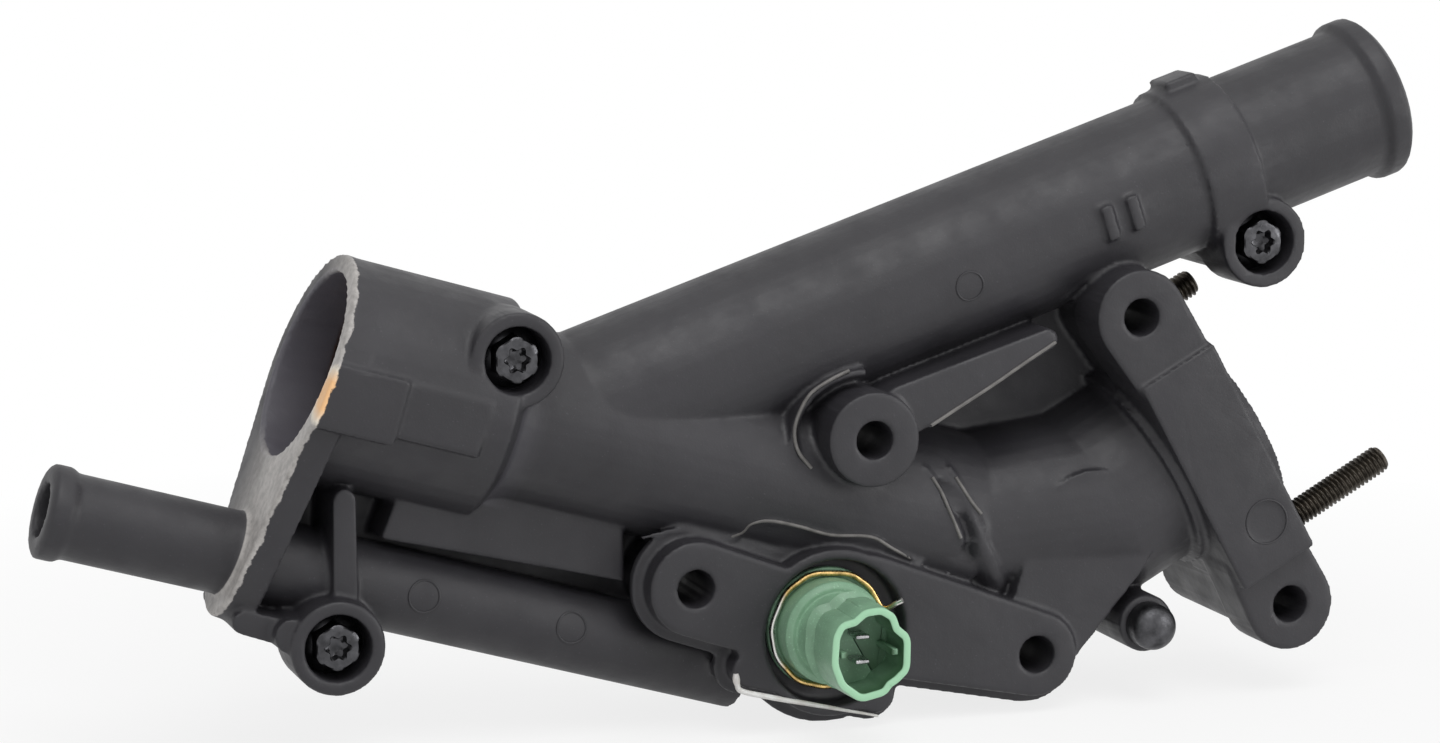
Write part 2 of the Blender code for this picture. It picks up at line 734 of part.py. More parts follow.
def hollows():
    """The coolant passages."""
    end = MAIN_RUN + COLLAR_WIDTH + STUB_RUN + THROUGH
    passage_from = Vector((*HEATER.at(HEATER_BORE_RUN - 4 * MM), HEATER_DEPTH))
    passage_to = Vector((-4 * MM, -6 * MM, 22 * MM))
    run = passage_to - passage_from
    along = Vector((run.x, -run.z, run.y))
    across = along.normalized().orthogonal()
    cross = frame(
        Vector((passage_from.x, -passage_from.z, passage_from.y)), across, along.normalized()
    )
    return [
        rod(MAIN.frame, MAIN_BORE, 4 * MM, end),
        turned(
            "mouth_bore",
            MOUTH.frame,
            [
                (-20 * MM, MOUTH_BORE),
                (MOUTH_BORE_RUN, MOUTH_BORE),
                (MOUTH_BORE_RUN + 5 * MM, DUCT_BORE - 0.7 * MM),
                (MOUTH_RUN + 3 * MM, DUCT_BORE - 0.7 * MM),
            ],
        ),
        tube_ring(
            "mouth_groove",
            MOUTH.frame,
            MOUTH_BORE - 1 * MM,
            MOUTH_BORE + 1.5 * SEAL_WIRE,
            12 * MM - 1.3 * SEAL_WIRE,
            12 * MM + 1.3 * SEAL_WIRE,
        ),
        rod(DUCT.frame, DUCT_BORE, 0.0, DUCT_RUN + 3 * MM),
        leaning(
            "chamber_bore",
            CHAMBER.frame,
            [
                (-CHAMBER_BACK + 1 * MM, CHAMBER_BORE - 2 * MM, CHAMBER_LEAN),
                (-11 * MM, CHAMBER_BORE, 0.0),
                (RING_END + THROUGH, CHAMBER_BORE, 0.0),
            ],
        ),
        rod(CHAMBER.frame, INSERT_BORE, INSERT_SEAT, RING_END + THROUGH),
        tube_ring(
            "retainer_groove",
            CHAMBER.frame,
            INSERT_BORE - 1 * MM,
            INSERT_BORE + 1.0 * MM,
            RETAINER_AT - GAP,
            RETAINER_AT + PLATE_SHEET + GAP,
        ),
        tube_ring(
            "face_groove",
            CHAMBER.frame,
            FACE_SEAL_R - 1.15 * SEAL_WIRE,
            FACE_SEAL_R + 1.15 * SEAL_WIRE,
            RING_END - 1.75 * SEAL_WIRE,
            RING_END + THROUGH,
        ),
        turned(
            "heater_bore",
            HEATER.frame,
            [(-THROUGH, HEATER_BORE), (HEATER_BORE_RUN, HEATER_BORE)],
        ),
        rod(cross, HEATER_BORE, 0.0, along.length),
        rod(FRONT, PORT_R, -2 * THROUGH, PORT_DEPTH),
        rod(front_frame(RECESS_AT), RECESS_R, PLATE_FRONT - PLATE_THICK, PLATE_FRONT + THROUGH),
        rod(front_frame(SENSOR_AT), SENSOR_BORE, SENSOR_FOOT - PROBE_RUN - 1.5 * MM, PLATE_FRONT),
        tube_ring(
            "gasket_groove",
            FRONT,
            GASKET_R - 1.2 * GASKET_WIRE,
            GASKET_R + 1.2 * GASKET_WIRE,
            -2 * THROUGH,
            1.9 * GASKET_WIRE,
        ),
        rod(front_frame(VENT), VENT_STEM + GAP, 30 * MM, 40 * MM + THROUGH),
        rod(
            front_frame(CHAMBER.at(BAND_MARK_ALONG, -BAND_MARK_DOWN)),
            BAND_MARK_R,
            BAND_FRONT - GAP,
            BAND_FRONT + THROUGH,
        ),
    ]


def housing(plastic):
    body = outer_shell()
    carve(body, *hollows())
    # Moulded columns keep each bolt dry where it crosses a passage
    through = {
        "post": (POST, POST_FRONT),
        "ear_a": (EAR_A, EAR_A_FRONT),
        "ear_b": (EAR_B, EAR_B_FRONT),
        "hole_left": (HOLE_LEFT, PLATE_FRONT),
        "hole_right": (HOLE_RIGHT, PLATE_FRONT),
    }
    for at, front in through.values():
        weld(body, rod(front_frame(at), HOLE_COLUMN, -THROUGH, front - 2 * MM))
    for at, front in BOSSES.values():
        column = rod(front_frame(at), SLEEVE_HOLE + 1.1 * MM, -THROUGH, front - BORE_SINK)
        weld(body, column)
    far = 3 * MAIN_RUN
    carve(body, block(FRONT, (-far, far), (-far, far), (-60 * MM, 0.0)))
    for at, front in through.values():
        carve(body, rod(front_frame(at), HOLE_R, -2 * THROUGH, front + 6 * MM))
    for at, front in BOSSES.values():
        carve(
            body,
            rod(front_frame(at), SLEEVE_HOLE, -2 * THROUGH, front),
            rod(front_frame(at), SINK_R, front - BORE_SINK, front + THROUGH),
        )
    for side, _ in STUDS.values():
        hole = rod(stud_frame(side), STUD_R + GAP, RING_END - STUD_SINK, RING_END + THROUGH)
        carve(body, hole)
    return finish(body, "housing", plastic)


def bolts(steel):
    for name, (at, front) in BOSSES.items():
        floor = front - BORE_SINK
        tube_ring(f"sleeve_{name}", front_frame(at), SLEEVE_IN, SLEEVE_OUT, 0.0, floor - GAP)
        place = front_frame(at)
        base = floor + GAP
        bolt = turned(
            f"bolt_{name}",
            place,
            [
                (-BOLT_TAIL, BOLT_R - 0.7 * MM),
                (-BOLT_TAIL + 1.0 * MM, BOLT_R),
                (base, BOLT_R),
                (base, HEAD_R),
                (base + 0.8 * MM, HEAD_R),
                (base + WASHER + 0.5 * MM, HEAD_R - 1.4 * MM),
            ],
            32,
        )
        corner = BOLT_FLATS / math.sqrt(3)
        hexagon = prism("hexagon", place, circle(corner, 6), base + 1 * MM, base + HEAD_TALL)
        join(bolt, hexagon)
        cut(bolt, rod(place, BOLT_FLATS * 0.3, base + HEAD_TALL - 2 * MM, base + HEAD_TALL + THROUGH))
        finish(bolt, f"bolt_{name}", steel)
        finish(bpy.data.objects[f"sleeve_{name}"], f"sleeve_{name}", steel)


def studs(steel):
    for name, (side, tip) in STUDS.items():
        foot = RING_END - STUD_SINK + GAP
        stud = turned(
            f"stud_{name}",
            stud_frame(side),
            [
                (foot, STUD_R - 0.6 * MM),
                (foot + 0.8 * MM, STUD_R),
                (tip - 0.8 * MM, STUD_R),
                (tip, STUD_R - 0.7 * MM),
            ],
            24,
        )
        finish(stud, f"stud_{name}", steel)


def vent_plug(steel):
    top = 40 * MM
    plug = turned(
        "vent_plug",
        front_frame(VENT),
        [
            (30 * MM + GAP, VENT_STEM),
            (top + GAP, VENT_STEM),
            (top + GAP, VENT_R),
            (top + 4.2 * MM, VENT_R),
            (top + 5.4 * MM, VENT_R * 0.82),
            (top + 6.2 * MM, VENT_R * 0.45),
        ],
    )
    finish(plug, "vent_plug", steel)


def seals(rubber, orange):
    finish(loop("mouth_seal", MOUTH.frame, MOUTH_BORE, SEAL_WIRE, 12 * MM), "mouth_seal", orange)
    face = loop("face_seal", CHAMBER.frame, FACE_SEAL_R, SEAL_WIRE, RING_END - 0.7 * SEAL_WIRE)
    finish(face, "face_seal", rubber)
    gasket = loop("head_gasket", FRONT, GASKET_R, GASKET_WIRE, 0.85 * GASKET_WIRE)
    finish(gasket, "head_gasket", rubber)


def sensor(green, brass, rubber, tin):
    place = front_frame(SENSOR_AT)
    seat, foot = SENSOR_SEAT, SENSOR_FOOT
    disc = PLATE_FRONT - PLATE_THICK + SENSOR_FLANGE_FRONT
    stem = SENSOR_BORE - GAP
    groove = foot + 3.4 * MM
    seal_wire = 0.8 * MM
    groove_r = SENSOR_BORE - 2.4 * seal_wire
    plug_end = seat + SENSOR_LENGTH
    plug_start = plug_end - PLUG_RUN
    body = turned(
        "sensor_body",
        place,
        [
            (foot, stem),
            (groove - 1.3 * seal_wire, stem),
            (groove - 1.3 * seal_wire, groove_r),
            (groove + 1.3 * seal_wire, groove_r),
            (groove + 1.3 * seal_wire, stem),
            (seat, stem),
            (seat, SENSOR_FLANGE + 2.6 * MM),
            (seat + 1.5 * MM, SENSOR_FLANGE + 2.6 * MM),
            (seat + 1.5 * MM, SENSOR_FLANGE),
            (disc, SENSOR_FLANGE),
            (disc + 1 * MM, SENSOR_FLANGE - 1 * MM),
            (disc + 1 * MM, SENSOR_BARREL),
            (plug_start, SENSOR_BARREL - 0.5 * MM),
            (plug_start + 1 * MM, SENSOR_BARREL - 1.5 * MM),
        ],
        40,
    )
    half_w, half_h = PLUG_W / 2, PLUG_H / 2
    clip = 2.2 * MM
    outline = [
        (-half_w, -half_h + clip),
        (-half_w + clip, -half_h),
        (half_w - clip, -half_h),
        (half_w, -half_h + clip),
        (half_w, half_h - clip),
        (half_w - clip, half_h),
        (-half_w + clip, half_h),
        (-half_w, half_h - clip),
    ]
    inner = 1 - PLUG_WALL / half_w
    floor = plug_end - 9 * MM
    key = (-1.6 * MM, 1.6 * MM)
    join(
        body,
        prism("shroud", place, outline, plug_start - 3 * MM, plug_end),
        block(place, key, (half_h - 1 * MM, half_h + 1.5 * MM), (plug_start, plug_end - 2 * MM)),
    )
    blade = (BLADE_W / 2, BLADE_THICK / 2)
    cut(
        body,
        prism("socket", place, [(x * inner, y * inner) for x, y in outline], floor, plug_end + THROUGH),
        block(place, (half_w - 3 * MM, half_w + 1 * MM), key, (plug_end - 5 * MM, plug_end + THROUGH)),
        *[
            block(
                place,
                (-blade[0] - GAP, blade[0] + GAP),
                (z - blade[1] - GAP, z + blade[1] + GAP),
                (floor - 2 * MM, floor + 1 * MM),
            )
            for z in (-BLADE_STEP / 2, BLADE_STEP / 2)
        ],
        rod(place, PROBE_R - 1.2 * MM + GAP, foot - THROUGH, foot + 3 * MM),
    )
    finish(body, "sensor_body", green)
    for name, z in (("terminal_lower", -BLADE_STEP / 2), ("terminal_upper", BLADE_STEP / 2)):
        made = block(
            place,
            (-blade[0], blade[0]),
            (z - blade[1], z + blade[1]),
            (floor - 2 * MM + GAP, plug_end - TIP_BACK),
            name,
        )
        finish(made, name, tin)
    probe = turned(
        "sensor_probe",
        place,
        [
            (foot - PROBE_RUN, PROBE_R * 0.5),
            (foot - PROBE_RUN + 1 * MM, PROBE_R * 0.9),
            (foot - PROBE_RUN + 2 * MM, PROBE_R),
            (foot - GAP, PROBE_R),
            (foot - GAP, PROBE_R - 1.2 * MM),
            (foot + 3 * MM - GAP, PROBE_R - 1.2 * MM),
        ],
    )
    finish(probe, "sensor_probe", brass)
    ring = loop("sensor_seal", place, groove_r + GAP + seal_wire, seal_wire, groove, 32)
    finish(ring, "sensor_seal", rubber)
    # Wire clip: most of a turn round the disc, with one end bent out to the front
    radius = SENSOR_FLANGE + GAP + CLIP_WIRE
    level = seat + 1.5 * MM + GAP + CLIP_WIRE
    path = []
    for k in range(31):
        turn = math.radians(20 + 315 * k / 30)
        path.append((radius * math.cos(turn), radius * math.sin(turn), level))
    path.insert(0, (radius + CLIP_HOOK_OUT, radius * 0.3, level + CLIP_HOOK_FRONT))
    path.append((radius * 0.85, -radius * 0.75, level + 0.6 * MM))
    finish(tube("sensor_clip", place, path, CLIP_WIRE), "sensor_clip", brass)


def valve_insert(steel, brass, spring_steel):
    place = CHAMBER.frame
    seat = INSERT_SEAT + GAP
    rim = INSERT_BORE - GAP
    leg = SEAT_R + VALVE_LIP + 0.5 * MM
    cup = -TRAVEL - CUP_CLEAR
    strip = (-2.5 * MM, 2.5 * MM)
    frame_body = tube_ring("valve_frame", place, SEAT_R, rim, seat, seat + PLATE_SHEET)
    bridge = (seat + BRIDGE_BACK, seat + BRIDGE_FRONT)
    join(
        frame_body,
        *[
            block(place, sorted((s * leg, s * (leg + 2.6 * MM))), strip, (seat + 0.4 * MM, bridge[1]))
            for s in (-1, 1)
        ],
        block(place, (-leg - 1 * MM, leg + 1 * MM), (-2.4 * MM, 2.4 * MM), (bridge[0], bridge[1] - 0.1 * MM)),
        *[
            block(place, strip, sorted((s * leg, s * (leg + 1.5 * MM))), (cup - 1 * MM, seat + 0.6 * MM))
            for s in (-1, 1)
        ],
        tube_ring("cup", place, CAPSULE_R + 0.6 * MM, leg + 1.1 * MM, cup - PLATE_SHEET, cup),
    )
    cut(frame_body, rod(place, PIN_R + GAP, bridge[0] - 1 * MM, bridge[1] + 1 * MM))
    finish(frame_body, "valve_frame", steel)

    pin_foot = -2.5 * MM
    finish(rod(place, PIN_R, pin_foot, bridge[1], "piston_pin"), "piston_pin", spring_steel)

    disc_top = seat - GAP
    disc = tube_ring(
        "valve_disc", place, CAPSULE_R + GAP, SEAT_R + VALVE_LIP, disc_top - 1.6 * MM, disc_top
    )
    capsule = turned(
        "wax_capsule",
        place,
        [
            (cup - 4.5 * MM, CAPSULE_R - 1.4 * MM),
            (cup - 3.4 * MM, CAPSULE_R),
            (seat + 1.5 * MM, CAPSULE_R),
            (seat + 3 * MM, CAPSULE_R * 0.62),
            (seat + 5.5 * MM, CAPSULE_R * 0.62),
        ],
    )
    cut(capsule, rod(place, PIN_R + GAP, pin_foot - 0.5 * MM, seat + 8 * MM))
    low, high = cup + SPRING_WIRE + GAP, disc_top - 1.6 * MM - SPRING_WIRE - GAP
    steps = 12 * SPRING_TURNS
    path = []
    for k in range(steps + 1):
        turn = 2 * math.pi * SPRING_TURNS * k / steps
        path.append((SPRING_R * math.cos(turn), SPRING_R * math.sin(turn), low + (high - low) * k / steps))
    finish(tube("valve_spring", place, path, SPRING_WIRE, 6), "valve_spring", spring_steel)

    outline = []
    for radius, turns in ((INSERT_BORE + 0.7 * MM, range(25)), (INSERT_BORE - 1.6 * MM, range(24, -1, -1))):
        for k in turns:
            turn = math.radians(20 + 320 * k / 24)
            outline.append((radius * math.cos(turn), radius * math.sin(turn)))
    retainer = prism("retainer_ring", place, outline, RETAINER_AT, RETAINER_AT + PLATE_SHEET)
    finish(retainer, "retainer_ring", spring_steel)

    # The moving pieces hang from one point on the line they slide along
    slide = bpy.data.objects.new("valve_slide", None)
    bpy.context.scene.collection.objects.link(slide)
    slide.matrix_world = place
    for piece, name, made in (
        (disc, "valve_disc", steel),
        (capsule, "wax_capsule", brass),
    ):
        finish(piece, name, made)
        piece.parent = slide
        piece.matrix_parent_inverse = place.inverted()


def main():
    for old in list(bpy.data.objects):
        bpy.data.objects.remove(old)
    plastic = material("glass_filled_nylon", (0.045, 0.044, 0.048), 0.5)
    steel = material("dark_plated_steel", (0.16, 0.16, 0.17), 0.35, 1.0)
    spring_steel = material("bright_steel", (0.5, 0.5, 0.5), 0.3, 1.0)
    brass = material("brass", (0.6, 0.42, 0.16), 0.35, 1.0)
    rubber = material("black_rubber", (0.02, 0.02, 0.02), 0.7)
    orange = material("orange_rubber", (0.7, 0.32, 0.12), 0.6)
    green = material("green_nylon", (0.17, 0.34, 0.2), 0.45)
    tin = material("tinned_terminal", (0.55, 0.55, 0.55), 0.3, 1.0)
    housing(plastic)
    seals(rubber, orange)
    bolts(steel)
    studs(steel)
    vent_plug(steel)
    sensor(green, brass, rubber, tin)
    valve_insert(steel, brass, spring_steel)


main()
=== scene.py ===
"""Looks of a moulded nylon coolant housing, with its sensor, fasteners and wax valve.

The solids of the frame are read first, and every size below is in metres, in their frame.
"""

import json
import math

import bmesh
import bpy
from bpy.props import FloatProperty, FloatVectorProperty, IntProperty, PointerProperty
from mathutils import Matrix, Vector


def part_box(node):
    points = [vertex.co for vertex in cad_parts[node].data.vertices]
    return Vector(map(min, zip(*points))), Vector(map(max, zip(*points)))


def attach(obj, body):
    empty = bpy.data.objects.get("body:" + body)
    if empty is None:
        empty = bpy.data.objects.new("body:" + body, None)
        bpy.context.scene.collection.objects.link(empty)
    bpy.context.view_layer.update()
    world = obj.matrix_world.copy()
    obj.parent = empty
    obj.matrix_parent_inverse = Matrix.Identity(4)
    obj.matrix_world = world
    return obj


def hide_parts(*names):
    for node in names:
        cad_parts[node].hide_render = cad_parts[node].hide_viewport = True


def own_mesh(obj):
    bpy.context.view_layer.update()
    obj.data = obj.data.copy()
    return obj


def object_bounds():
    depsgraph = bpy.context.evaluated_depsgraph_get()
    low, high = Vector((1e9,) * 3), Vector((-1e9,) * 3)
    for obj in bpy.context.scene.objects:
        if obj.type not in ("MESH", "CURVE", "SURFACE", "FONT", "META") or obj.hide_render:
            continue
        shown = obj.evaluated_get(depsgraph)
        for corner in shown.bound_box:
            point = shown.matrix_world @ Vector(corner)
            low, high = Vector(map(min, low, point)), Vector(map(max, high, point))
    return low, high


bl_info = {
    "name": "Coolant Housing Looks",
    "version": (1, 0, 0),
    "blender": (4, 5, 0),
    "location": "View3D > Sidebar > Housing",
    "description": "Skins, threads, springs and finishes for a moulded coolant housing",
    "category": "Object",
}

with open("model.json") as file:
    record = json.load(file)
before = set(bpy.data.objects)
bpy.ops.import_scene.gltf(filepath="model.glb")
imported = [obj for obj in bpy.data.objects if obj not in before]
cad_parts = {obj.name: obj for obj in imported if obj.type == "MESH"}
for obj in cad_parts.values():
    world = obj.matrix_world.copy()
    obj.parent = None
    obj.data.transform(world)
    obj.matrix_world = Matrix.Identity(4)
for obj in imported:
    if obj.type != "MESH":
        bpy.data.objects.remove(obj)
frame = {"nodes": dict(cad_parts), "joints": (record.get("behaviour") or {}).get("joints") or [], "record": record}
CAD_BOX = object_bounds()

MM = 0.001
HOUSING = "housing_body"
VALVE = "valve_slider"


def mount(name):
    """The place and the outward direction of one of the frame's interfaces."""
    found = next(m for m in frame["record"]["mounts"] if m["name"] == name)
    return Vector(found["pos_m"]), Vector(found["axis"]).normalized()


def framed(origin, x_axis, z_axis):
    """A matrix with these axes and this origin."""
    y_axis = z_axis.cross(x_axis)
    matrix = Matrix((x_axis, y_axis, z_axis)).transposed().to_4x4()
    matrix.translation = origin
    return matrix


RIGHT = Vector((1, 0, 0))
FRONT = Vector((0, -1, 0))
LIFT = Vector(frame["joints"][0]["axis"]).normalized()
CHAMBER_ALONG = -LIFT
CHAMBER_UP = FRONT.cross(CHAMBER_ALONG).normalized() * -1
MOUTH_AT, MOUTH_OUT = mount("mouth_face")
MOUTH_TILT = math.radians(-16.5)
MOUTH_ALONG = Vector((math.cos(MOUTH_TILT), 0.0, math.sin(MOUTH_TILT)))


def straight(node, x_axis, z_axis):
    """The frame of a turned node: its origin is where its centre line starts, and its length."""
    turn = framed(Vector(), x_axis, z_axis)
    back = turn.inverted()
    local = [back @ v.co for v in frame["nodes"][node].data.vertices]
    low = Vector([min(p[i] for p in local) for i in range(3)])
    high = Vector([max(p[i] for p in local) for i in range(3)])
    centre = Vector(((low.x + high.x) / 2, (low.y + high.y) / 2, low.z))
    placed = turn.copy()
    placed.translation = turn @ centre
    return placed, high.z - low.z, (high.x - low.x) / 2


def facing(node):
    """The frame of a node that points to the front."""
    return straight(node, RIGHT, FRONT)


def slanted(node):
    """The frame of a node on or beside the valve chamber's line."""
    return straight(node, CHAMBER_UP, CHAMBER_ALONG)


# Sizes and colours


class HousingLooks(bpy.types.PropertyGroup):
    """Sizes and colours of the housing's skin"""

    grain: FloatProperty(
        name="Skin grain", description="Size of the housing skin's mesh", default=0.52 * MM, unit="LENGTH"
    )
    softening: IntProperty(name="Softening", description="How often the skin is evened out", default=3)
    triangles: IntProperty(name="Triangles", description="Most triangles in the skin", default=192000)
    ridge: FloatProperty(
        name="Weld ridge", description="Radius of the weld ridge's bead", default=0.45 * MM, unit="LENGTH"
    )
    nylon: FloatVectorProperty(
        name="Nylon", description="Colour of the moulding", subtype="COLOR", default=(0.0218, 0.0208, 0.0246)
    )
    worn: FloatVectorProperty(
        name="Worn rim", description="Colour of the machined flange face", subtype="COLOR",
        default=(0.42, 0.4, 0.385),
    )


class FastenerLooks(bpy.types.PropertyGroup):
    """Sizes and colours of the bolts, studs and plug"""

    pitch: FloatProperty(name="Pitch", description="Thread pitch", default=1.0 * MM, unit="LENGTH")
    across_flats: FloatProperty(
        name="Across flats", description="Width of the bolt's hexagon", default=8.0 * MM, unit="LENGTH"
    )
    steel: FloatVectorProperty(
        name="Bolt steel", description="Colour of the bolts", subtype="COLOR", default=(0.075, 0.075, 0.08)
    )
    stud: FloatVectorProperty(
        name="Stud steel", description="Colour of the studs", subtype="COLOR", default=(0.075, 0.066, 0.055)
    )


class SensorLooks(bpy.types.PropertyGroup):
    """Sizes and colours of the sensor and its clip"""

    wall: FloatProperty(
        name="Shroud wall", description="Wall of the connector", default=1.5 * MM, unit="LENGTH"
    )
    green: FloatVectorProperty(
        name="Sensor nylon", description="Colour of the sensor", subtype="COLOR", default=(0.215, 0.385, 0.25)
    )
    gold: FloatVectorProperty(
        name="Clip", description="Colour of the wire clip", subtype="COLOR", default=(0.72, 0.5, 0.2)
    )


class ValveLooks(bpy.types.PropertyGroup):
    """Turns and colours of the wax valve"""

    coils: IntProperty(name="Coils", description="Turns of the return spring", default=5)
    brass: FloatVectorProperty(
        name="Capsule", description="Colour of the wax capsule", subtype="COLOR", default=(0.62, 0.42, 0.17)
    )


class StageLooks(bpy.types.PropertyGroup):
    """Lens and light levels"""

    lens: FloatProperty(name="Lens", description="Focal length in millimetres", default=100.0)
    top: FloatProperty(
        name="Top light", description="Power of the lamp above the front", default=4.9, unit="POWER"
    )
    side: FloatProperty(
        name="Side light", description="Power of the low lamp on the right", default=4.1, unit="POWER"
    )
    fill: FloatProperty(name="Fill light", description="Strength of the even light", default=0.5)


class CoolantLooks(bpy.types.PropertyGroup):
    """All sizes and colours that can be changed"""

    housing: PointerProperty(type=HousingLooks)
    fasteners: PointerProperty(type=FastenerLooks)
    sensor: PointerProperty(type=SensorLooks)
    valve: PointerProperty(type=ValveLooks)
    stage: PointerProperty(type=StageLooks)


def looks():
    """The scene's sizes and colours."""
    return bpy.context.scene.coolant_looks


# Mesh helpers


def linked(name, mesh):
    """A new object for this mesh, in the scene."""
    made = bpy.data.objects.new(name, mesh)
    bpy.context.scene.collection.objects.link(made)
    return made


def finished(name, build, matrix, sharp):
    """A piece from a mesh under construction, put in its place, with edges over this angle kept sharp."""
    mesh = bpy.data.meshes.new(name)
    build.to_mesh(mesh)
    build.free()
    mesh.transform(matrix)
    mesh.shade_smooth()
    mesh.set_sharp_from_angle(angle=math.radians(sharp))
    return linked(name, mesh)


def stacked(name, matrix, rings, closed=False, sharp=35):
    """A piece from matching rings of points, with its ends capped or joined."""
    build = bmesh.new()
    loops = [[build.verts.new(point) for point in ring] for ring in rings]
    count = len(loops[0])
    pairs = list(zip(loops, loops[1:]))
    if closed:
        pairs.append((loops[-1], loops[0]))
    else:
        build.faces.new(reversed(loops[0]))
        build.faces.new(loops[-1])
    for low, high in pairs:
        for k in range(count):
            n = (k + 1) % count
            build.faces.new((low[k], low[n], high[n], high[k]))
    bmesh.ops.recalc_face_normals(build, faces=build.faces)
    if build.calc_volume(signed=True) < 0:
        bmesh.ops.reverse_faces(build, faces=build.faces)
    return finished(name, build, matrix, sharp)


# The most of a side that one softened corner takes, and a length that counts as none
MOST_OF_SIDE = 0.45
TINY = 1e-9


def softened(profile, size):
    """A (distance, radius) profile with each inner corner turned into a short curve."""
    out = [profile[0]]
    for before, corner, after in zip(profile, profile[1:], profile[2:]):
        middle = Vector(corner)
        start, end = (
            middle + side * min(MOST_OF_SIDE, size / max(side.length, TINY))
            for side in (Vector(before) - middle, Vector(after) - middle)
        )
        for s in (0.0, 0.25, 0.5, 0.75, 1.0):
            out.append(tuple(start * (1 - s) ** 2 + middle * 2 * s * (1 - s) + end * s * s))
    out.append(profile[-1])
    return out


def circle(radius, count):
    """Points evenly round a circle."""
    return [
        (radius * math.cos(2 * math.pi * k / count), radius * math.sin(2 * math.pi * k / count))
        for k in range(count)
    ]


def turned(name, matrix, profile, count=64, soft=0.25 * MM):
    """A piece turned about local Z, with its corners softened."""
    rings = [[(x, y, t) for x, y in circle(max(r, 1e-6), count)] for t, r in softened(profile, soft)]
    return stacked(name, matrix, rings)


def washer(name, matrix, inner, outer, start, end, count=96, soft=0.15 * MM):
    """A flat ring about local Z, with softened edges."""
    corners = [(start, inner), (start, outer), (end, outer), (end, inner), (start, inner), (start, outer)]
    section = softened(corners, soft)[1:-6]
    rings = [[(r * x, r * y, t) for t, r in section] for x, y in circle(1.0, count)]
    return stacked(name, matrix, rings, closed=True)


def hoop(name, matrix, radius, thick, count=120, sides=14):
    """A ring of round section about local Z that stands on its origin."""
    rings = [
        [((radius + r) * x, (radius + r) * y, thick + t) for r, t in circle(thick, sides)]
        for x, y in circle(1.0, count)
    ]
    return stacked(name, matrix, rings, closed=True)


def wire(name, matrix, path, radius, sides=12):
    """A round wire along a path."""
    points = [Vector(point) for point in path]
    tangent = (points[1] - points[0]).normalized()
    side = tangent.orthogonal().normalized()
    rings = []
    for k, point in enumerate(points):
        ahead = (points[min(k + 1, len(points) - 1)] - points[max(k - 1, 0)]).normalized()
        side = tangent.rotation_difference(ahead) @ side
        tangent = ahead
        over = tangent.cross(side)
        rings.append([point + side * x + over * y for x, y in circle(radius, sides)])
    return stacked(name, matrix, rings)


def eased(points, steps=8):
    """A smooth path through a few points."""
    knots = [Vector(p) for p in points]
    knots = [knots[0] * 2 - knots[1], *knots, knots[-1] * 2 - knots[-2]]
    path = []
    for a, b, c, d in zip(knots, knots[1:], knots[2:], knots[3:]):
        for k in range(steps):
            s = k / steps
            bend = (2 * a - 5 * b + 4 * c - d) * s * s + (3 * b - a - 3 * c + d) * s ** 3
            path.append(0.5 * (2 * b + (c - a) * s + bend))
    path.append(knots[-2])
    return path


def box(name, matrix, x, y, z, edge):
    """A block with rounded edges."""
    build = bmesh.new()
    bmesh.ops.create_cube(build, size=1.0)
    for v in build.verts:
        v.co = Vector((x[v.co.x > 0], y[v.co.y > 0], z[v.co.z > 0]))
    bmesh.ops.bevel(build, geom=build.edges[:], offset=edge, segments=3, affect="EDGES", profile=0.5)
    return finished(name, build, matrix, 50)


def fused(name, pieces):
    """Several meshes as one piece."""
    build = bmesh.new()
    for piece in pieces:
        build.from_mesh(piece.data)
    mesh = bpy.data.meshes.new(name)
    build.to_mesh(mesh)
    build.free()
    for piece in pieces:
        bpy.data.objects.remove(piece)
    return linked(name, mesh)


def shaped(obj, kind, **settings):
    """Applies one modifier."""
    step = obj.modifiers.new(kind, kind)
    for key, value in settings.items():
        setattr(step, key, value)
    graph = bpy.context.evaluated_depsgraph_get()
    mesh = bpy.data.meshes.new_from_object(obj.evaluated_get(graph))
    obj.modifiers.clear()
    obj.data = mesh


def dressed(obj, made, slot, body, *nodes):
    """Gives a piece its finish and its body, and lets it stand for frame nodes."""
    obj.data.materials.clear()
    obj.data.materials.append(made)
    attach(obj, body)
    if nodes:
        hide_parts(*nodes)


# Materials

CREAM = (0.8, 0.73, 0.62)
ORANGE = (0.92, 0.55, 0.27)
SILVER = (0.72, 0.71, 0.68)
# Painted shade for the socket of the sensor's connector
SOCKET_SHADE_GREEN = (0.03, 0.085, 0.035)
# Depth of the machined face, where the mouth's centre line starts, the mouth's outer radius, how far in its bore
# the painted light is full and gone, and the place and radius of the seal's stain
RIM_DEPTH = 0.9 * MM
MOUTH_AXIS_AT = Vector((-106.0 * MM, -24.0 * MM, 42.9 * MM))
MOUTH_R = 21.4 * MM
BORE_LIGHT_FULL = 26 * MM
BORE_LIGHT_NONE = 44 * MM
PATCH_AT = Vector((-107.1 * MM, -45.7 * MM, 40.3 * MM))
PATCH_R = 6.2 * MM


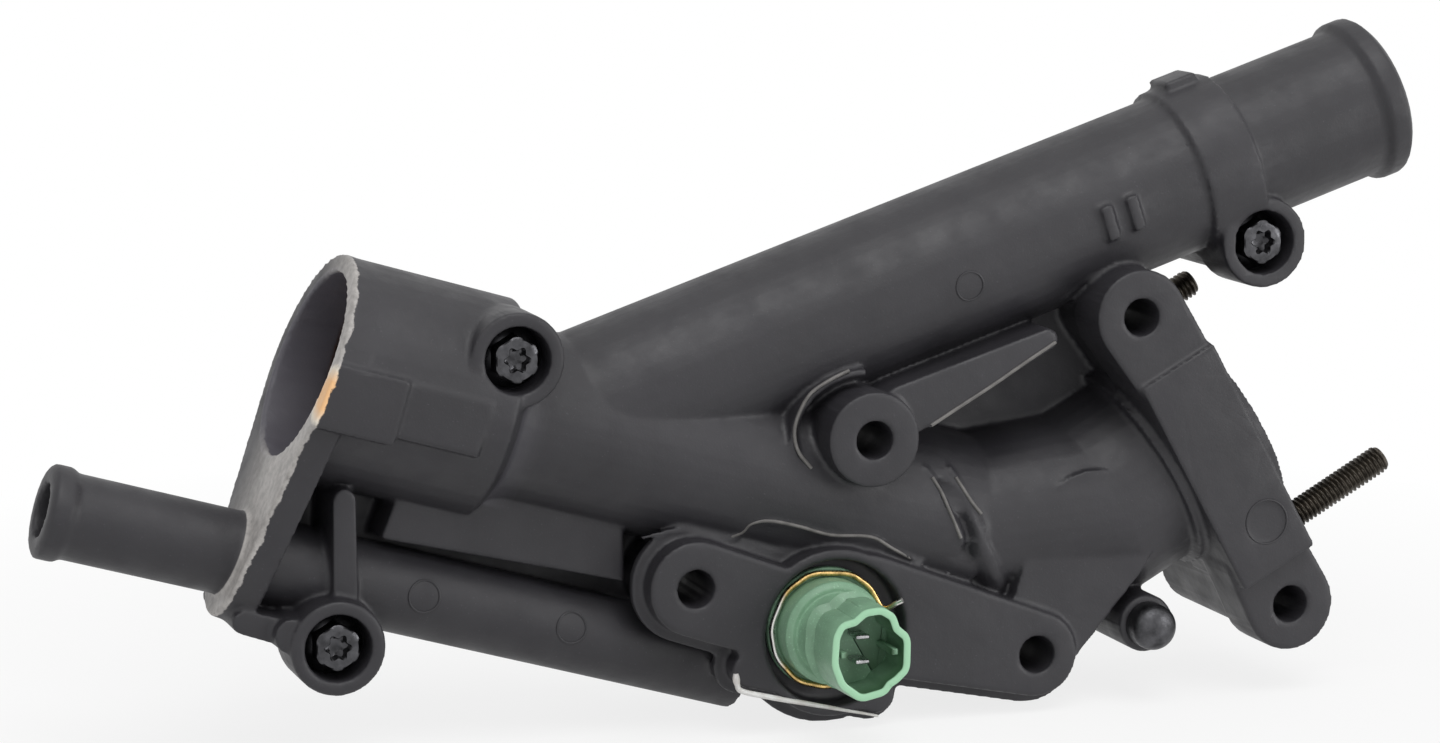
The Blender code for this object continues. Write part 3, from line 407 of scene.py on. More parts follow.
class Finish:
    """A Principled material and the nodes behind it."""

    def __init__(self, name, colour, roughness, metallic=0.0):
        self.material = bpy.data.materials.new(name)
        self.material.use_nodes = True
        self.nodes = self.material.node_tree.nodes
        self.links = self.material.node_tree.links
        self.shader = self.nodes["Principled BSDF"]
        self.shader.inputs["Base Color"].default_value = (*colour, 1.0)
        self.shader.inputs["Roughness"].default_value = roughness
        self.shader.inputs["Metallic"].default_value = metallic
        self.place = self.nodes.new("ShaderNodeTexCoord").outputs["Object"]

    def add(self, kind, settings=(), **inputs):
        """A node with these settings and input values."""
        node = self.nodes.new(kind)
        for key, value in dict(settings).items():
            setattr(node, key, value)
        for key, value in inputs.items():
            self.put(node.inputs[key.replace("_", " ")], value)
        return node

    def put(self, socket, value):
        """Links a socket to another, or gives it a plain value."""
        if isinstance(value, bpy.types.NodeSocket):
            self.links.new(value, socket)
        else:
            socket.default_value = value

    def noise(self, size, detail=3.0, rough=0.55):
        """Noise whose features are about this size."""
        made = self.add("ShaderNodeTexNoise", Scale=1 / size, Detail=detail, Roughness=rough)
        self.links.new(self.place, made.inputs["Vector"])
        return made.outputs["Fac"]

    def ramp(self, value, *stops):
        """A value turned into another through (place, level or colour) stops."""
        node = self.nodes.new("ShaderNodeValToRGB")
        marks = node.color_ramp.elements
        while len(marks) < len(stops):
            marks.new(0.5)
        for mark, (at, level) in zip(marks, stops):
            mark.position = at
            mark.color = (level, level, level, 1) if isinstance(level, float) else (*level, 1)
        self.links.new(value, node.inputs["Fac"])
        return node.outputs["Color"]

    def mix(self, share, a, b):
        """The first colour, turned into the second by this share."""
        node = self.nodes.new("ShaderNodeMix")
        node.data_type = "RGBA"
        for socket, value in zip((node.inputs[0], node.inputs[6], node.inputs[7]), (share, a, b)):
            if isinstance(value, tuple) and len(value) == 3:
                value = (*value, 1.0)
            self.put(socket, value)
        return node.outputs[2]

    def bump(self, height, depth, before=None):
        """Fine relief of this depth, over any relief before it."""
        node = self.nodes.new("ShaderNodeBump")
        node.inputs["Strength"].default_value = 1.0
        node.inputs["Distance"].default_value = depth
        self.links.new(height, node.inputs["Height"])
        if before:
            self.links.new(before, node.inputs["Normal"])
        return node.outputs["Normal"]

    def math(self, kind, a, b=0.0):
        """A sum on two values."""
        node = self.add("ShaderNodeMath", {"operation": kind})
        self.put(node.inputs[0], a)
        self.put(node.inputs[1], b)
        return node.outputs[0]

    def vector(self, kind, a, b=Vector()):
        """A value worked out from two vectors."""
        node = self.add("ShaderNodeVectorMath", {"operation": kind})
        self.put(node.inputs[0], a)
        self.put(node.inputs[1], b)
        return node.outputs["Value"]

    def span(self, value, zero, one):
        """A value turned into a share that is 0 at the first level and 1 at the second."""
        node = self.add("ShaderNodeMapRange")
        for key, level in (("Value", value), ("From Min", zero), ("From Max", one)):
            self.put(node.inputs[key], level)
        return node.outputs["Result"]

    def waver(self, size, depth):
        """A length that wavers about zero from place to place."""
        return self.math("MULTIPLY", self.math("SUBTRACT", self.noise(size, 5.0, 0.65), 0.5), depth)

    def rim(self):
        """The share of the ragged machined face: just behind the flange plane, and not in front of it."""
        level = self.vector("DOT_PRODUCT", self.place, MOUTH_OUT)
        depth = self.math("SUBTRACT", MOUTH_AT.dot(MOUTH_OUT), level)
        ragged = self.math("ADD", depth, self.waver(3.5 * MM, 2.4 * MM))
        behind = self.span(ragged, RIM_DEPTH, RIM_DEPTH - 0.25 * MM)
        return self.math("MULTIPLY", behind, self.span(depth, -0.7 * MM, -0.5 * MM))

    def bore(self):
        """The share of the mouth's bore that is painted lighter: painted light on its far wall."""
        shift = self.add("ShaderNodeVectorMath", {"operation": "SUBTRACT"})
        self.put(shift.inputs[0], self.place)
        self.put(shift.inputs[1], MOUTH_AXIS_AT)
        from_start = shift.outputs["Vector"]
        along = self.vector("DOT_PRODUCT", from_start, MOUTH_ALONG)
        far = self.vector("LENGTH", from_start)
        square = self.math("SUBTRACT", self.math("MULTIPLY", far, far), self.math("MULTIPLY", along, along))
        within = self.span(self.math("SQRT", square), MOUTH_R - 2.2 * MM, MOUTH_R - 2.8 * MM)
        return self.math("MULTIPLY", within, self.span(along, BORE_LIGHT_NONE, BORE_LIGHT_FULL))

    def cleaned(self):
        """The share by which the face is wiped bare: full at the front, none at the back."""
        return self.span(self.vector("DOT_PRODUCT", self.place, FRONT), 12 * MM, 30 * MM)

    def attribute(self, name):
        """A share stored on the mesh."""
        return self.add("ShaderNodeAttribute", {"attribute_name": name}).outputs["Fac"]

    def colour(self, value):
        """Gives the shader its colour."""
        self.links.new(value, self.shader.inputs["Base Color"])

    def rough(self, value):
        """Gives the shader its roughness."""
        self.links.new(value, self.shader.inputs["Roughness"])

    def normal(self, value):
        """Gives the shader its fine relief."""
        self.links.new(value, self.shader.inputs["Normal"])


def lighter(colour, times):
    """A colour multiplied, up to full white."""
    return tuple(min(1.0, c * times) for c in colour)


def nylon_finish(name, colour, worn):
    """Glass-filled nylon: fine grain, pale fibre specks, a machined rim with the seal's stain, and painted light
    in the mouth's bore.
    """
    made = Finish(name, colour, 0.5)
    cloud = made.ramp(made.noise(22 * MM, 4.0), (0.3, 0.0), (0.7, 1.0))
    base = made.mix(cloud, lighter(colour, 0.86), lighter(colour, 1.18))
    specks = made.ramp(made.noise(0.45 * MM, 2.0, 0.7), (0.66, 0.0), (0.74, 1.0))
    base = made.mix(specks, base, lighter(colour, 2.1))
    rim = made.math("MULTIPLY", made.rim(), made.cleaned())
    mottled = made.ramp(made.noise(1.6 * MM, 5.0, 0.65), (0.3, 0.0), (0.7, 1.0))
    machined = made.mix(mottled, lighter(worn, 0.72), lighter(worn, 1.25))
    away = made.vector("DISTANCE", made.place, PATCH_AT)
    stain = made.span(made.math("ADD", away, made.waver(0.9 * MM, 1.6 * MM)), PATCH_R, 0.35 * PATCH_R)
    stained = made.ramp(stain, (0.25, CREAM), (0.85, ORANGE))
    machined = made.mix(made.math("MINIMUM", made.math("MULTIPLY", stain, 4.0), 1.0), machined, stained)
    # Painted light: the mouth's bore is painted much lighter, as if lit within
    base = made.mix(made.bore(), base, lighter(colour, 4.6))
    made.colour(made.mix(rim, base, machined))
    made.rough(made.ramp(made.noise(6 * MM, 4.0), (0.3, 0.44), (0.7, 0.6)))
    grain = made.bump(made.noise(0.5 * MM, 3.0, 0.6), 0.03 * MM)
    made.normal(made.bump(made.noise(5 * MM, 2.0), 0.12 * MM, grain))
    made.shader.inputs["Specular IOR Level"].default_value = 0.5
    return made.material


def steel_finish(name, colour, roughness=0.34):
    """Plated steel with fine scratches and duller patches."""
    made = Finish(name, colour, roughness, 1.0)
    patches = made.ramp(made.noise(2.2 * MM, 5.0), (0.3, 0.0), (0.72, 1.0))
    made.colour(made.mix(patches, lighter(colour, 0.6), lighter(colour, 1.5)))
    made.rough(made.ramp(made.noise(0.7 * MM, 3.0), (0.25, roughness - 0.12), (0.75, roughness + 0.14)))
    made.normal(made.bump(made.noise(0.35 * MM, 3.0), 0.015 * MM))
    return made.material


def wire_finish(name, colour, centre):
    """Gold plating, rubbed to silver on the left side and at the hook."""
    made = Finish(name, colour, 0.3, 1.0)
    across = made.vector("DOT_PRODUCT", made.place, RIGHT)
    left = made.span(across, centre - 8.5 * MM, centre - 10 * MM)
    right = made.span(across, centre + 11.5 * MM, centre + 12.5 * MM)
    patches = made.ramp(made.noise(1.5 * MM, 4.0), (0.35, 0.0), (0.7, 1.0))
    gold = made.mix(patches, lighter(colour, 0.55), lighter(colour, 1.3))
    made.colour(made.mix(made.math("MAXIMUM", left, right), gold, SILVER))
    made.rough(made.ramp(made.noise(0.7 * MM, 3.0), (0.25, 0.2), (0.75, 0.42)))
    made.normal(made.bump(made.noise(0.35 * MM, 3.0), 0.015 * MM))
    return made.material


def rubber_finish(name, colour, roughness=0.68):
    """Moulded rubber with a dusty bloom."""
    made = Finish(name, colour, roughness)
    bloom = made.ramp(made.noise(3 * MM, 4.0), (0.4, 0.0), (0.75, 1.0))
    made.colour(made.mix(bloom, colour, lighter(colour, 1.8)))
    made.rough(made.ramp(made.noise(1.2 * MM), (0.3, roughness - 0.08), (0.7, roughness + 0.12)))
    made.normal(made.bump(made.noise(0.4 * MM), 0.02 * MM))
    return made.material


def green_finish(name, colour):
    """The sensor's nylon: slightly clouded, with a soft sheen, painted shade within the socket and a painted
    highlight on the lip.
    """
    made = Finish(name, colour, 0.42)
    cloud = made.ramp(made.noise(4 * MM, 3.0), (0.3, 0.0), (0.7, 1.0))
    base = made.mix(cloud, lighter(colour, 0.9), lighter(colour, 1.12))
    specks = made.ramp(made.noise(0.4 * MM, 2.0), (0.62, 0.0), (0.72, 1.0))
    base = made.mix(specks, base, lighter(colour, 1.5))
    # Painted shade: the socket's inner faces are darkened
    base = made.mix(made.attribute("inside"), base, SOCKET_SHADE_GREEN)
    # Painted highlight: the connector's lip is painted lighter
    made.colour(made.mix(made.attribute("lip"), base, lighter(colour, 1.7)))
    made.rough(made.ramp(made.noise(1.5 * MM), (0.3, 0.34), (0.7, 0.5)))
    made.normal(made.bump(made.noise(0.6 * MM), 0.02 * MM))
    made.shader.inputs["Subsurface Weight"].default_value = 0.08
    made.shader.inputs["Subsurface Radius"].default_value = (0.6 * MM, 0.9 * MM, 0.6 * MM)
    return made.material


# Housing


# Beads and creases that stand on the moulding, in millimetres
RIDGES = {
    "weld bead over the plate": [
        (-44.2, -36.6, 8.0), (-37.3, -37.0, 9.2), (-31.5, -37.0, 7.8), (-26.9, -37.0, 6.6),
        (-24.3, -37.2, 7.9), (-22.8, -38.6, 9.8), (-19.3, -39.7, 10.3), (-13.3, -39.7, 8.8),
        (-7.1, -39.7, 6.8), (0.9, -40.1, 6.0), (5.8, -39.7, 3.2), (12.0, -39.6, -0.2),
    ],
    "left crease under the post": [
        (12.9, -38.3, 18.6), (14.1, -38.9, 16.7), (15.6, -39.9, 13.9), (16.9, -40.7, 10.5),
        (18.4, -41.0, 7.0), (19.8, -41.2, 4.1),
    ],
    "right crease under the post": [
        (18.2, -37.6, 18.4), (19.2, -38.4, 16.3), (21.7, -40.0, 11.9), (23.7, -40.6, 9.2),
        (24.6, -41.2, 6.0), (23.5, -41.6, 4.2), (20.6, -41.3, 3.9),
    ],
    "lip over the ear": [(43.8, -34.2, 49.6), (47.2, -36.6, 53.4), (53.2, -37.6, 55.7)],
    "lower edge of the web": [
        (12.2, -41.8, 27.1), (18.6, -41.8, 30.7), (25.7, -41.8, 34.7), (32.0, -41.8, 38.5),
        (38.1, -41.8, 42.1),
    ],
}
# Painted highlights: edges of the moulding painted a lighter grey where light catches them, in millimetres
BRIGHT = {
    "web": [
        (12.6, -42.1, 27.4), (18.6, -42.1, 30.8), (25.7, -42.1, 34.8), (32.0, -42.1, 38.6),
        (38.4, -42.1, 42.3),
    ],
    "post_lip": [
        (-3.5, -39.9, 38.6), (-7.4, -40.1, 37.0), (-11.3, -40.1, 34.6), (-13.6, -40.1, 31.0),
        (-14.6, -40.1, 27.3), (-13.8, -40.2, 23.5), (-11.3, -40.5, 20.2),
    ],
    "plate_weld": [
        (-27.5, -36.6, 6.6), (-24.3, -37.4, 8.0), (-22.8, -38.8, 9.9), (-19.3, -39.9, 10.4),
        (-13.3, -39.9, 8.9), (-7.1, -39.9, 6.9), (0.9, -40.3, 6.1), (5.8, -39.9, 3.3),
        (12.0, -39.2, -0.3),
    ],
    "left_crease": [
        (14.1, -39.2, 16.7), (15.6, -40.2, 13.9), (16.9, -41.0, 10.5), (18.4, -41.2, 7.0),
        (19.3, -41.3, 4.8),
    ],
    "right_crease": [(19.2, -38.7, 16.3), (21.7, -40.3, 11.9), (23.7, -40.9, 9.2)],
}
# The line of the groove between the two creases, in millimetres, then its half width, its depth, and the radius of
# the painted edge highlights
GROOVE = [
    (16.3, -39.4, 15.3), (17.7, -40.4, 12.2), (19.8, -41.0, 8.7), (21.3, -41.5, 5.1), (21.2, -40.5, 1.0),
]
GROOVE_REACH = 1.7 * MM
GROOVE_DEPTH = 1.9 * MM
EDGE_R = 0.36 * MM
# Pale strip under the sensor plate, a painted highlight of the plate's lower edge, with the knob at its left end,
# in millimetres, and half its depth from front to back
STRIP = [
    (-26.9, -41.6, -18.4), (-26.6, -41.6, -20.6), (-25.6, -41.6, -22.0), (-19.9, -41.7, -23.6),
    (-13.8, -41.7, -25.1), (-7.7, -41.7, -26.6), (-1.5, -41.7, -28.1), (2.0, -41.7, -29.0),
]
STRIP_DEPTH = 0.7 * MM
# Rings moulded on the front: the place seen from the front and the radius, in millimetres.
# They are found from a plane ahead of the whole object
AHEAD = -0.2
MARK_R = 0.22 * MM
MARKS = [
    ((21.3, 53.7), 2.8), ((-85.9, -0.9), 3.0), ((-57.2, -9.0), 2.9), ((82.4, 4.9), 4.4),
]


def path_of(points, steps=8):
    """A smooth path through points given in millimetres."""
    return eased([Vector(point) * MM for point in points], steps)


def painted(mesh, name, rule):
    """Stores a share from 0 to 1 for each corner point of a mesh."""
    made = mesh.attributes.new(name, "FLOAT", "POINT")
    values = [max(0.0, min(1.0, rule(v.co, v.normal))) for v in mesh.vertices]
    made.data.foreach_set("value", values)


class COOLANT_OT_housing(bpy.types.Operator):
    """Skin the housing with rounded edges, weld ridges and mould marks"""

    bl_idname = "coolant.housing"
    bl_label = "Housing"

    def execute(self, context):
        want = looks().housing
        skin = linked("housing_skin", frame["nodes"]["housing"].data.copy())
        ridges = [wire(name, Matrix(), path_of(points), want.ridge) for name, points in RIDGES.items()]
        skin = fused("housing_skin", [skin, *ridges])
        build = bmesh.new()
        build.from_mesh(skin.data)
        bmesh.ops.remove_doubles(build, verts=build.verts, dist=1e-6)
        build.to_mesh(skin.data)
        build.free()
        shaped(skin, "REMESH", mode="VOXEL", voxel_size=want.grain, adaptivity=0.0)
        shaped(skin, "SMOOTH", factor=0.5, iterations=want.softening)
        faces = 2 * len(skin.data.polygons)
        if faces > want.triangles:
            shaped(skin, "DECIMATE", ratio=want.triangles / faces)
        self.groove(skin.data)
        skin.data.shade_smooth()
        finish = nylon_finish("glass_filled_nylon", tuple(want.nylon), tuple(want.worn))
        dressed(skin, finish, "housing_nylon", HOUSING, "housing")
        for k, ((x, z), radius) in enumerate(MARKS):
            self.mark(k, x * MM, z * MM, radius * MM, finish)
        self.strip(tuple(want.worn))
        # Painted highlights: lines along the edges, painted a lighter grey where light catches them
        rubbed = rubber_finish("painted_highlight_nylon", lighter(tuple(want.worn), 0.26), 0.42)
        for name, points in BRIGHT.items():
            edge = wire(name + "_edge", Matrix(), path_of(points, 6), EDGE_R)
            dressed(edge, rubbed, "housing_nylon", HOUSING)
        return {"FINISHED"}

    def groove(self, mesh):
        """Sinks the skin along the groove between the two creases under the post."""
        path = path_of(GROOVE, 6)
        for corner in mesh.vertices:
            near = min((corner.co - place).length for place in path)
            if near < GROOVE_REACH:
                corner.co.y += GROOVE_DEPTH * (1 - (near / GROOVE_REACH) ** 2) ** 2

    def strip(self, worn):
        """The pale strip that runs under the sensor plate, thickest in its middle: a painted highlight of the
        plate's lower edge.
        """
        path = path_of(STRIP, 6)
        last = len(path) - 1
        rings = []
        for k, place in enumerate(path):
            ahead = (path[min(k + 1, last)] - path[max(k - 1, 0)]).normalized()
            over = ahead.cross(FRONT).normalized()
            knob = 0.3 * math.exp(-((k - 3) / 2.5) ** 2)
            half = (0.25 + 0.3 * math.sin(math.pi * min(1.0, 0.15 + 0.95 * k / last)) + knob) * MM
            rings.append([place + over * half * a + FRONT * STRIP_DEPTH * b for a, b in circle(1.0, 16)])
        # Painted highlight: the strip is painted pale, as the light on the plate's lower edge
        made = rubber_finish("pale_strip_highlight", lighter(worn, 1.7), 0.5)
        dressed(stacked("plate_edge_highlight", Matrix(), rings), made, "housing_nylon", HOUSING)

    def mark(self, k, x, z, radius, finish):
        """A thin ring moulded on the front of a pipe."""
        skin = bpy.data.objects["housing_skin"]
        path = []
        for dx, dz in circle(radius, 48):
            hit, place, _, _ = skin.ray_cast(Vector((x + dx, AHEAD, z + dz)), -FRONT)
            if hit:
                path.append(place)
        rings = []
        centre = sum(path, Vector()) / len(path)
        for n, place in enumerate(path):
            ahead = (path[(n + 1) % len(path)] - path[n - 1]).normalized()
            side = (place - centre).normalized()
            over = ahead.cross(side).normalized()
            rings.append([place + side * a + over * b for a, b in circle(MARK_R, 8)])
        ring = stacked(f"mould_mark_{k + 1}", Matrix(), rings, closed=True)
        dressed(ring, finish, "housing_nylon", HOUSING)


# Fasteners


def thread(turn, t, pitch, depth):
    """How far a thread's flank stands in at this angle and distance."""
    share = (t / pitch - turn / (2 * math.pi)) % 1.0
    return depth * min(1.0, abs(2 * share - 1) * 1.25)


def threaded(name, matrix, length, radius, start, pitch, count=40):
    """A rod whose thread runs from start to its tip."""
    depth = 0.6 * pitch
    runout = 1.2 * pitch
    rows = max(2, int(8 * length / pitch))
    rings = []
    for n in range(rows + 1):
        t = length * n / rows
        ring = []
        chamfer = max(0.0, 1 - min(t, length - t) / (0.9 * pitch)) * depth
        fade = max(0.0, min(1.0, (t - start) / runout))
        for k in range(count):
            turn = 2 * math.pi * k / count
            r = radius - max(chamfer, fade * thread(turn, t, pitch, depth))
            ring.append((r * math.cos(turn), r * math.sin(turn), t))
        rings.append(ring)
    return stacked(name, matrix, rings, sharp=60)


def hexagon(flats, turn):
    """The reach of a hexagon of this width at this angle."""
    sector = (turn + math.pi / 6) % (math.pi / 3) - math.pi / 6
    return flats / 2 / math.cos(sector)


# A bolt's head in millimetres: height over its seat and how far the flange's edge stands in,
# then the same for the cone over the flange, which starts from a share of the flange's reach
FLANGE = ((0.0, 0.2), (0.06, 0.06), (0.2, 0.0), (0.75, 0.0), (0.95, 0.1))
CONE_SHARE = 0.86
CONE = ((1.35, -0.1), (1.6, 0.25))
# Depth under the hexagon's top, and the share of its corners that is left there
HEXAGON = ((0.9, 0.985), (0.35, 0.93))
HEXAGON_FOOT = 1.95 * MM
# Depth of the recess under the hexagon's top, and the share of its size there
RECESS = ((0.3, 1.0), (2.3, 0.97))
RECESS_SHARE = 0.3
RECESS_END = 2.6 * MM


def bolt_head(name, matrix, base, reach, flats, top):
    """A flanged hexagon head with a lobed recess."""
    turns = [2 * math.pi * k / 120 for k in range(120)]
    corner = flats / math.sqrt(3)
    recess = flats * RECESS_SHARE

    def ring(t, rule):
        return [(rule(a) * math.cos(a), rule(a) * math.sin(a), t) for a in turns]

    def plain(size):
        return lambda a: size

    def sided(share, less=0.0):
        return lambda a: min(hexagon(flats, a), corner * share) - less

    def lobed(size):
        return lambda a: size * (0.86 + 0.14 * math.cos(6 * a))

    rings = [ring(base, plain(reach * 0.4))]
    rings += [ring(base + up * MM, plain(reach - less * MM)) for up, less in FLANGE]
    rings += [ring(base + up * MM, plain(reach * CONE_SHARE - less * MM)) for up, less in CONE]
    rings.append(ring(base + HEXAGON_FOOT, sided(HEXAGON[0][1])))
    rings += [ring(top - down * MM, sided(share)) for down, share in HEXAGON]
    rings += [ring(top - 0.08 * MM, sided(0.86, 0.15 * MM)), ring(top, plain(flats * 0.39))]
    rings.append(ring(top, lobed(recess + 0.25 * MM)))
    rings += [ring(top - down * MM, lobed(recess * share)) for down, share in RECESS]
    rings.append(ring(top - RECESS_END, plain(recess * 0.55)))
    return stacked(name, matrix, rings, sharp=28)


# Bolts: radius of the shank, height of the head, length of the thread, and the sleeves' wall
SHANK_R = 2.9 * MM
HEAD_TALL = 6.0 * MM
BOLT_THREAD = 15.0 * MM
SLEEVE_WALL = 1.0 * MM
# Studs: length of the plain end. Plug: what its stem is thinner by, its head's height and its crown
STUD_PLAIN = 9.0 * MM
STEM_LESS = 1.9 * MM
PLUG_HEAD = 6.2 * MM
PLUG_CROWN = 3.2 * MM


class COOLANT_OT_bolts(bpy.types.Operator):
    """Make the captive bolts with flanged heads and threaded tails, and their sleeves"""

    bl_idname = "coolant.bolts"
    bl_label = "Captive bolts"

    def execute(self, context):
        want = looks().fasteners
        steel = steel_finish("dark_plated_steel", tuple(want.steel))
        for side in ("left", "middle", "right"):
            node = f"bolt_{side}"
            place, length, reach = facing(node)
            head = length - HEAD_TALL
            rod = threaded("rod", place, head + 0.5 * MM, SHANK_R, 0.0, want.pitch)
            profile = [(BOLT_THREAD, 0.5 * MM), (BOLT_THREAD, SHANK_R), (head + 1 * MM, SHANK_R)]
            plain = turned("plain", place, profile, 48)
            cap = bolt_head("cap", place, head, reach, want.across_flats, length)
            bolt = fused(node + "_fine", [rod, plain, cap])
            dressed(bolt, steel, "dark_steel", HOUSING, node)
            node = f"sleeve_{side}"
            place, length, outer = facing(node)
            sleeve = washer(node + "_fine", place, outer - SLEEVE_WALL, outer, 0.0, length)
            dressed(sleeve, steel, "dark_steel", HOUSING, node)
        return {"FINISHED"}


class COOLANT_OT_studs(bpy.types.Operator):
    """Cut the threads of the studs and round the vent plug's head"""

    bl_idname = "coolant.studs"
    bl_label = "Studs and vent plug"

    def execute(self, context):
        want = looks().fasteners
        brown = steel_finish("browned_steel", tuple(want.stud), 0.45)
        for side in ("lower", "upper"):
            node = f"stud_{side}"
            place, length, radius = slanted(node)
            stud = threaded(node + "_fine", place, length, radius, STUD_PLAIN, want.pitch)
            dressed(stud, brown, "dark_steel", HOUSING, node)
        place, length, radius = facing("vent_plug")
        stem = radius - STEM_LESS
        under = length - PLUG_HEAD
        profile = [(0.0, stem * 0.2), (0.0, stem), (under, stem), (under, radius)]
        for k in range(9):
            turn = math.radians(10 + 10 * k)
            profile.append((length - PLUG_CROWN * (1 - math.sin(turn)), radius * math.cos(turn) ** 0.8))
        plug = turned("vent_plug_fine", place, profile, soft=0.2 * MM)
        dressed(plug, steel_finish("plug_steel", tuple(want.steel), 0.4), "dark_steel", HOUSING, "vent_plug")
        return {"FINISHED"}


# Sensor


# The barrel's steps in millimetres: distance from its foot and radius, and the last two before its tip
BARREL = [
    (0.0, 6.9), (0.0, 7.9), (2.1, 7.9), (2.1, 6.3), (4.6, 6.3), (4.6, 7.9), (7.0, 7.9), (7.0, 11.9),
    (8.5, 11.9), (8.5, 10.1), (13.7, 10.1), (14.7, 9.1), (14.7, 8.1),
]
BARREL_END = [(-12.0, 7.4), (-10.5, 5.0)]
# The connector: its length, its lip's rounding, its socket's depth, and its latch and ribs
SHROUD_LONG = 13 * MM
LIP = 0.3 * MM
SOCKET = 9 * MM
LATCH_X = (-1.6 * MM, 1.6 * MM)
LATCH_Y = (6.6 * MM, 8.9 * MM)
RIB_X = (4.4 * MM, 5.7 * MM)
RIB_Y = (-0.6 * MM, 0.6 * MM)
# The wire clip: its radius, the turns of its kinks in degrees, and its hook in millimetres
CLIP_R = 11.6 * MM
CLIP_LEVEL = 0.6 * MM
CLIP_WIRE = 0.55 * MM
KINKS = (16, 41, 66, 107, 138, 175, 205, 238, 270, 304, 335)
HOOK = ((13.6, 5.6, 5.4), (12.6, 4.9, 4.6), (12.2, 3.6, 2.2))
# The probe: lengths of its tip and of its neck, and what the neck is thinner by
PROBE_TIP = 1.5 * MM
PROBE_NECK = 3 * MM
NECK_LESS = 1.2 * MM
# Outline of the connector as seen from the front, in millimetres from the sensor's centre line
SHROUD = [
    (-2.9, 5.7), (-0.9, 7.3), (1.8, 7.5), (3.6, 6.4), (4.4, 4.1), (6.5, 2.3), (6.4, -3.0), (4.6, -4.6),
    (3.2, -5.4), (2.2, -6.7), (-1.8, -7.5), (-5.1, -5.0), (-6.5, -1.4), (-6.2, 3.5), (-5.3, 5.2),
]


def rounded(corners, share, closed=True):
    """A path with a short curve in place of each corner."""
    points = [Vector(corner) for corner in corners]
    count = len(points)
    out = [] if closed else [points[0]]
    for k in range(count) if closed else range(1, count - 1):
        corner = points[k]
        a = corner.lerp(points[k - 1], share)
        b = corner.lerp(points[(k + 1) % count], share)
        for step in range(7):
            f = step / 6
            out.append(a * (1 - f) ** 2 + corner * 2 * f * (1 - f) + b * f * f)
    return out if closed else [*out, points[-1]]


